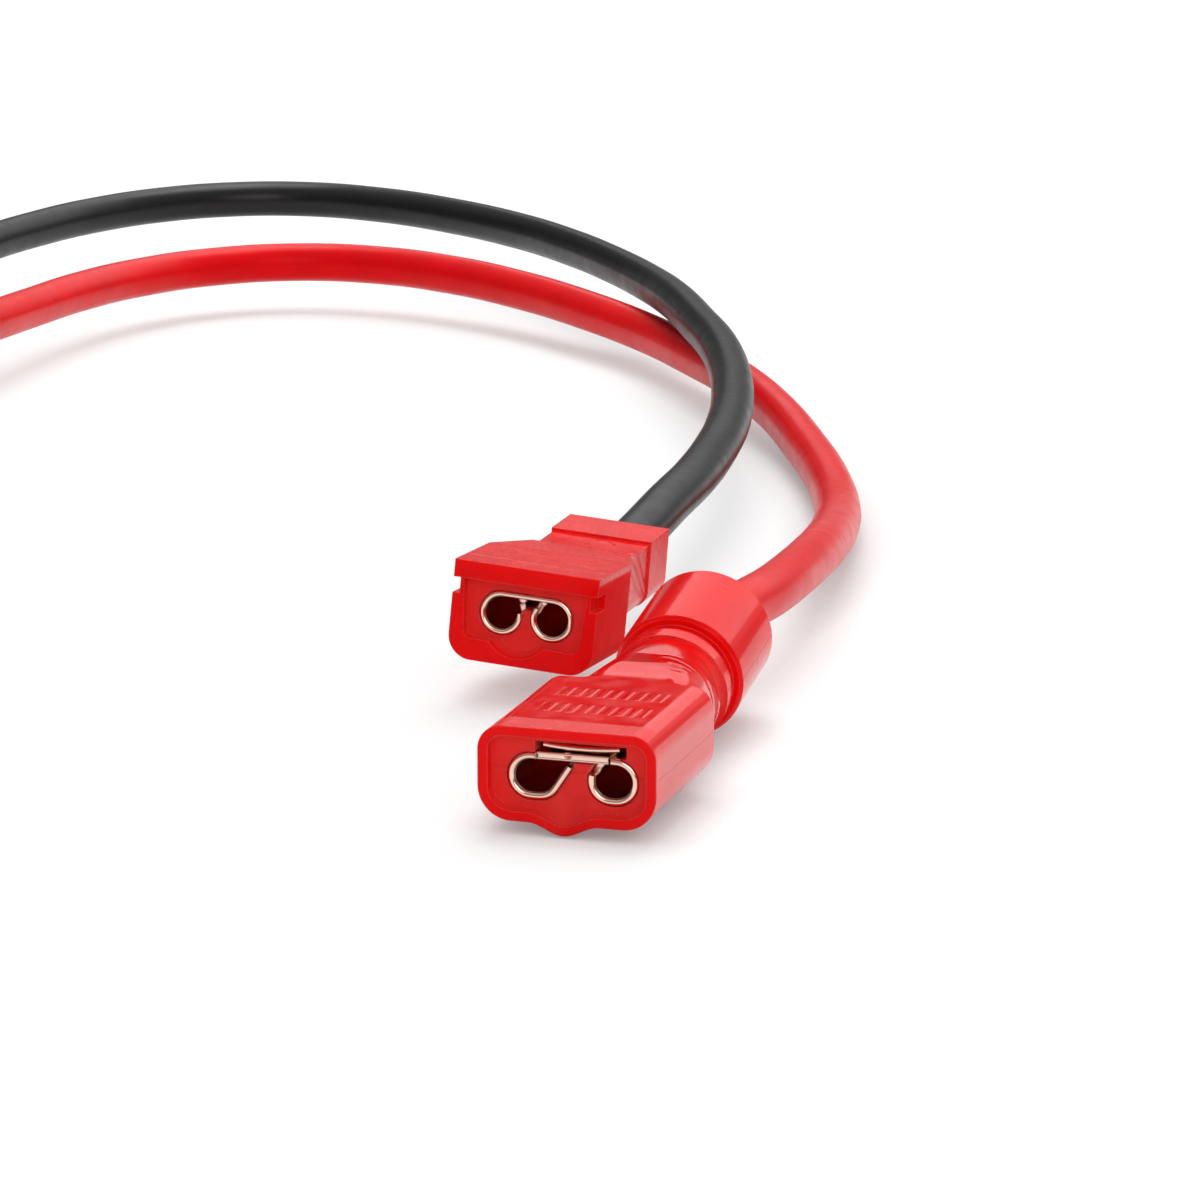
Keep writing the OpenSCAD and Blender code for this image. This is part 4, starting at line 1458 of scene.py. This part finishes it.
def neck_creases() -> tuple[Mark, ...]:
    """Lists the creases down the right of the small neck.

    Returns:
        One mark a crease.
    """
    creases = ((9.3, 0.9, -33.0, 0.06), (9.9, 1.2, -38.0, -0.06), (10.6, 1.3, -45.0, 0.05))
    return tuple(
        Mark((2.6, y, z), (0.6, 2.6, 0.05), soft=0.16, height=height, turn=(slope, 0.0, 0.0))
        for y, z, slope, height in creases
    )


TOP_FALL = Mark((0.0, -20.0, 12.0), (60.0, 32.5, 10.5), soft=3.0, height=0.60)
CRIMP_DENT = Mark((0.2, 12.9, 2.2), (1.5, 0.3, 1.2), soft=1.3, height=-0.12)
# Painted shade darkens the top of the large neck over the crimp dent.
CRIMP_SHADE = Mark((0.0, 13.0, 2.5), (1.9, 1.3, 0.8), soft=0.6, shade=0.16)
# Painted reflection pales the right side of the large neck.
NECK_PAINTED_REFLECTION = Mark((2.5, 13.4, 0.6), (0.7, 2.2, 1.2), soft=0.6, painted_sheen=0.9)
COLLAR_TICK = Mark(
    (2.95, 19.45, 0.8), (0.5, 0.03, 0.28), soft=0.05, height=-0.05, turn=(11.0, 0.0, 0.0), shade=0.35,
)
# Painted sheen pales the inside of the large mouth, which is also made rougher.
LARGE_MOUTH_PAINTED_SHEEN = Mark((0.0, 0.8, -0.1), (3.5, 0.7, 2.2), soft=0.12, painted_sheen=0.6, matt=0.30)
# Painted light on the left facet and painted shade on the right facet of the lower lip inside the large
# mouth.
LIP_PAINTED_LIGHT = Mark((-0.55, 0.8, -1.6), (0.35, 0.7, 0.8), soft=0.35, painted_sheen=0.5)
LIP_PAINTED_SHADE = Mark((0.45, 0.8, -1.6), (0.45, 0.7, 0.8), soft=0.40, shade=0.14)
MATT_SIDE = Mark((3.3, 7.5, 0.0), (0.6, 9.0, 2.0), soft=0.1, matt=0.60)
# Painted sheen pales the inside of the small mouth, which is also made rougher.
SMALL_MOUTH_PAINTED_SHEEN = Mark((0.0, 0.8, -0.2), (3.0, 0.6, 2.0), soft=0.12, painted_sheen=0.5, matt=0.25)
NECK_ARC = Mark(
    (0.7, 11.2, 1.7), (0.05, 0.7, 0.6), soft=0.10, height=0.05, turn=(0.0, 0.0, 60.0), radius=0.7,
)
RELIEF_ROWS_AT = (3.7, 6.4)
LARGE_MOULDING = Moulding(
    marks=crimp_streaks() + neck_folds() + (
        TOP_FALL, CRIMP_DENT, CRIMP_SHADE, NECK_PAINTED_REFLECTION, COLLAR_TICK,
        LARGE_MOUTH_PAINTED_SHEEN, LIP_PAINTED_LIGHT, LIP_PAINTED_SHADE,
    ),
    relief_mm=0.06,
    relief_rows=tuple(Mark((0.1, y, 2.1), (2.4, 0.7, 0.4), soft=0.07) for y in RELIEF_ROWS_AT),
    parting_mm=0.12,
    start_mm=0.3,
    bend_mm=15.6,
    climb_deg=11.0,
)
SMALL_MOULDING = Moulding(
    marks=neck_creases() + (MATT_SIDE, SMALL_MOUTH_PAINTED_SHEEN, NECK_ARC),
    flow_mm=0.035,
    flow_patch=Mark((0.0, 3.6, 2.6), (3.4, 2.8, 0.6), soft=0.8),
)
SOCKETS = (
    BladeSocket(
        "large", "red_conductor_end", LARGE_PLACE,
        LARGE_INSULATION, LARGE_MOULDING, LargeRims().draw(),
    ),
    BladeSocket(
        "small", "black_conductor_end", SMALL_PLACE,
        SMALL_INSULATION, SMALL_MOULDING, SmallRims().draw(),
    ),
)


@dataclass(frozen=True)
class Plug:
    """The two-way plug on the far end of the wires.

    Args:
        edge: Rounding of its housing.
        ends: Names of the two sides.
        place: Middle of its wire face, on the floor.
        width_mm: Width of its housing.
        height_mm: Height of its housing.
        corner_mm: Radius of its corners.
        pitch_mm: Distance between its wires.
        ribs: Number of grip ribs.
        rib_step_mm: Distance between the ribs.
        rib_mm: Thickness of a rib.
        rib_start: Steps from the wire face to the first rib.
        rib_low_mm: Height at which the ribs start.
        rib_sink_mm: Depth of the ribs' middle under the skin.
        ring_mm: Radius of the ring round a wire.
        ring_out_mm: Distance of the rings' middle from the wire face.
    """

    edge: Rounding = Rounding(0.35)
    ends: tuple[str, ...] = ("red", "black")
    place: Place = Place((-62.9, 48.2, 0.0))
    width_mm: float = 16.0
    height_mm: float = 9.0
    corner_mm: float = 1.5
    pitch_mm: float = 8.0
    ribs: int = 6
    rib_step_mm: float = 1.5
    rib_mm: float = 0.7
    rib_start: float = 1.5
    rib_low_mm: float = 2.0
    rib_sink_mm: float = 0.12
    ring_mm: float = 1.75
    ring_out_mm: float = 0.1

    def grip(self) -> Beading:
        """Draws the ribs that run up one side, over the top and down the other.

        Returns:
            The ribs.
        """
        low = self.rib_low_mm
        x = self.width_mm / 2 - self.rib_sink_mm
        z = self.height_mm - self.rib_sink_mm
        round_mm = self.corner_mm - self.rib_sink_mm
        bend = arc(0.0, round_mm, 0.0, 90.0)
        right = tuple((x - round_mm + dx, z - round_mm + dz) for dx, dz in bend)
        left = tuple((-px, pz) for px, pz in reversed(right))
        line = ((x, low),) + right + left + ((-x, low),)
        places = [-self.rib_step_mm * (i + self.rib_start) for i in range(self.ribs)]
        return Beading("plug_grip", tuple(stand(line, y) for y in places), self.rib_mm, PLUG_SKIN)

    def rings(self) -> Beading:
        """Draws the rings where the wires go in.

        Returns:
            The rings.
        """
        middle = self.height_mm / 2
        lines = []
        for side in (-0.5, 0.5):
            turn = arc(side * self.pitch_mm, self.ring_mm, 0.0, 360.0)
            lines.append(stand(turn, self.ring_out_mm, (0.0, middle)))
        return Beading("plug_rings", tuple(lines), self.rib_mm, PLUG_SKIN)

    def build(self, paint: Paint) -> list[bpy.types.Object]:
        """Dresses the plug's nodes and makes its trim.

        Args:
            paint: Maker of the materials.

        Returns:
            The trim.
        """
        dress("plug_housing", paint.make("plug_skin", PLUG_SKIN), self.edge)
        trim = [part.build(paint, self.place) for part in (self.grip(), self.rings())]
        metal = paint.make("plug_metal", TERMINAL)
        strand = paint.make("plug_strand", STRAND)
        for end in self.ends:
            dress("plug_contact_" + end, metal, CONTACT_EDGE)
            dress(end + "_conductor_plug_end", strand, STRAND_EDGE)
        return trim


def main() -> None:
    """Builds the scene."""
    logging.basicConfig(level=logging.INFO)
    View().build()
    paint = Paint()
    trim = Plug().build(paint)
    for wire in WIRES:
        wire.build(paint, trim)
    for socket in SOCKETS:
        socket.build(paint)
    Studio().build()
    for lamp in LAMPS:
        lamp.build()
    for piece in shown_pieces():
        LOG.info("built %s", piece.name)
    bpy.context.view_layer.update()


if __name__ == "__main__":
    main()
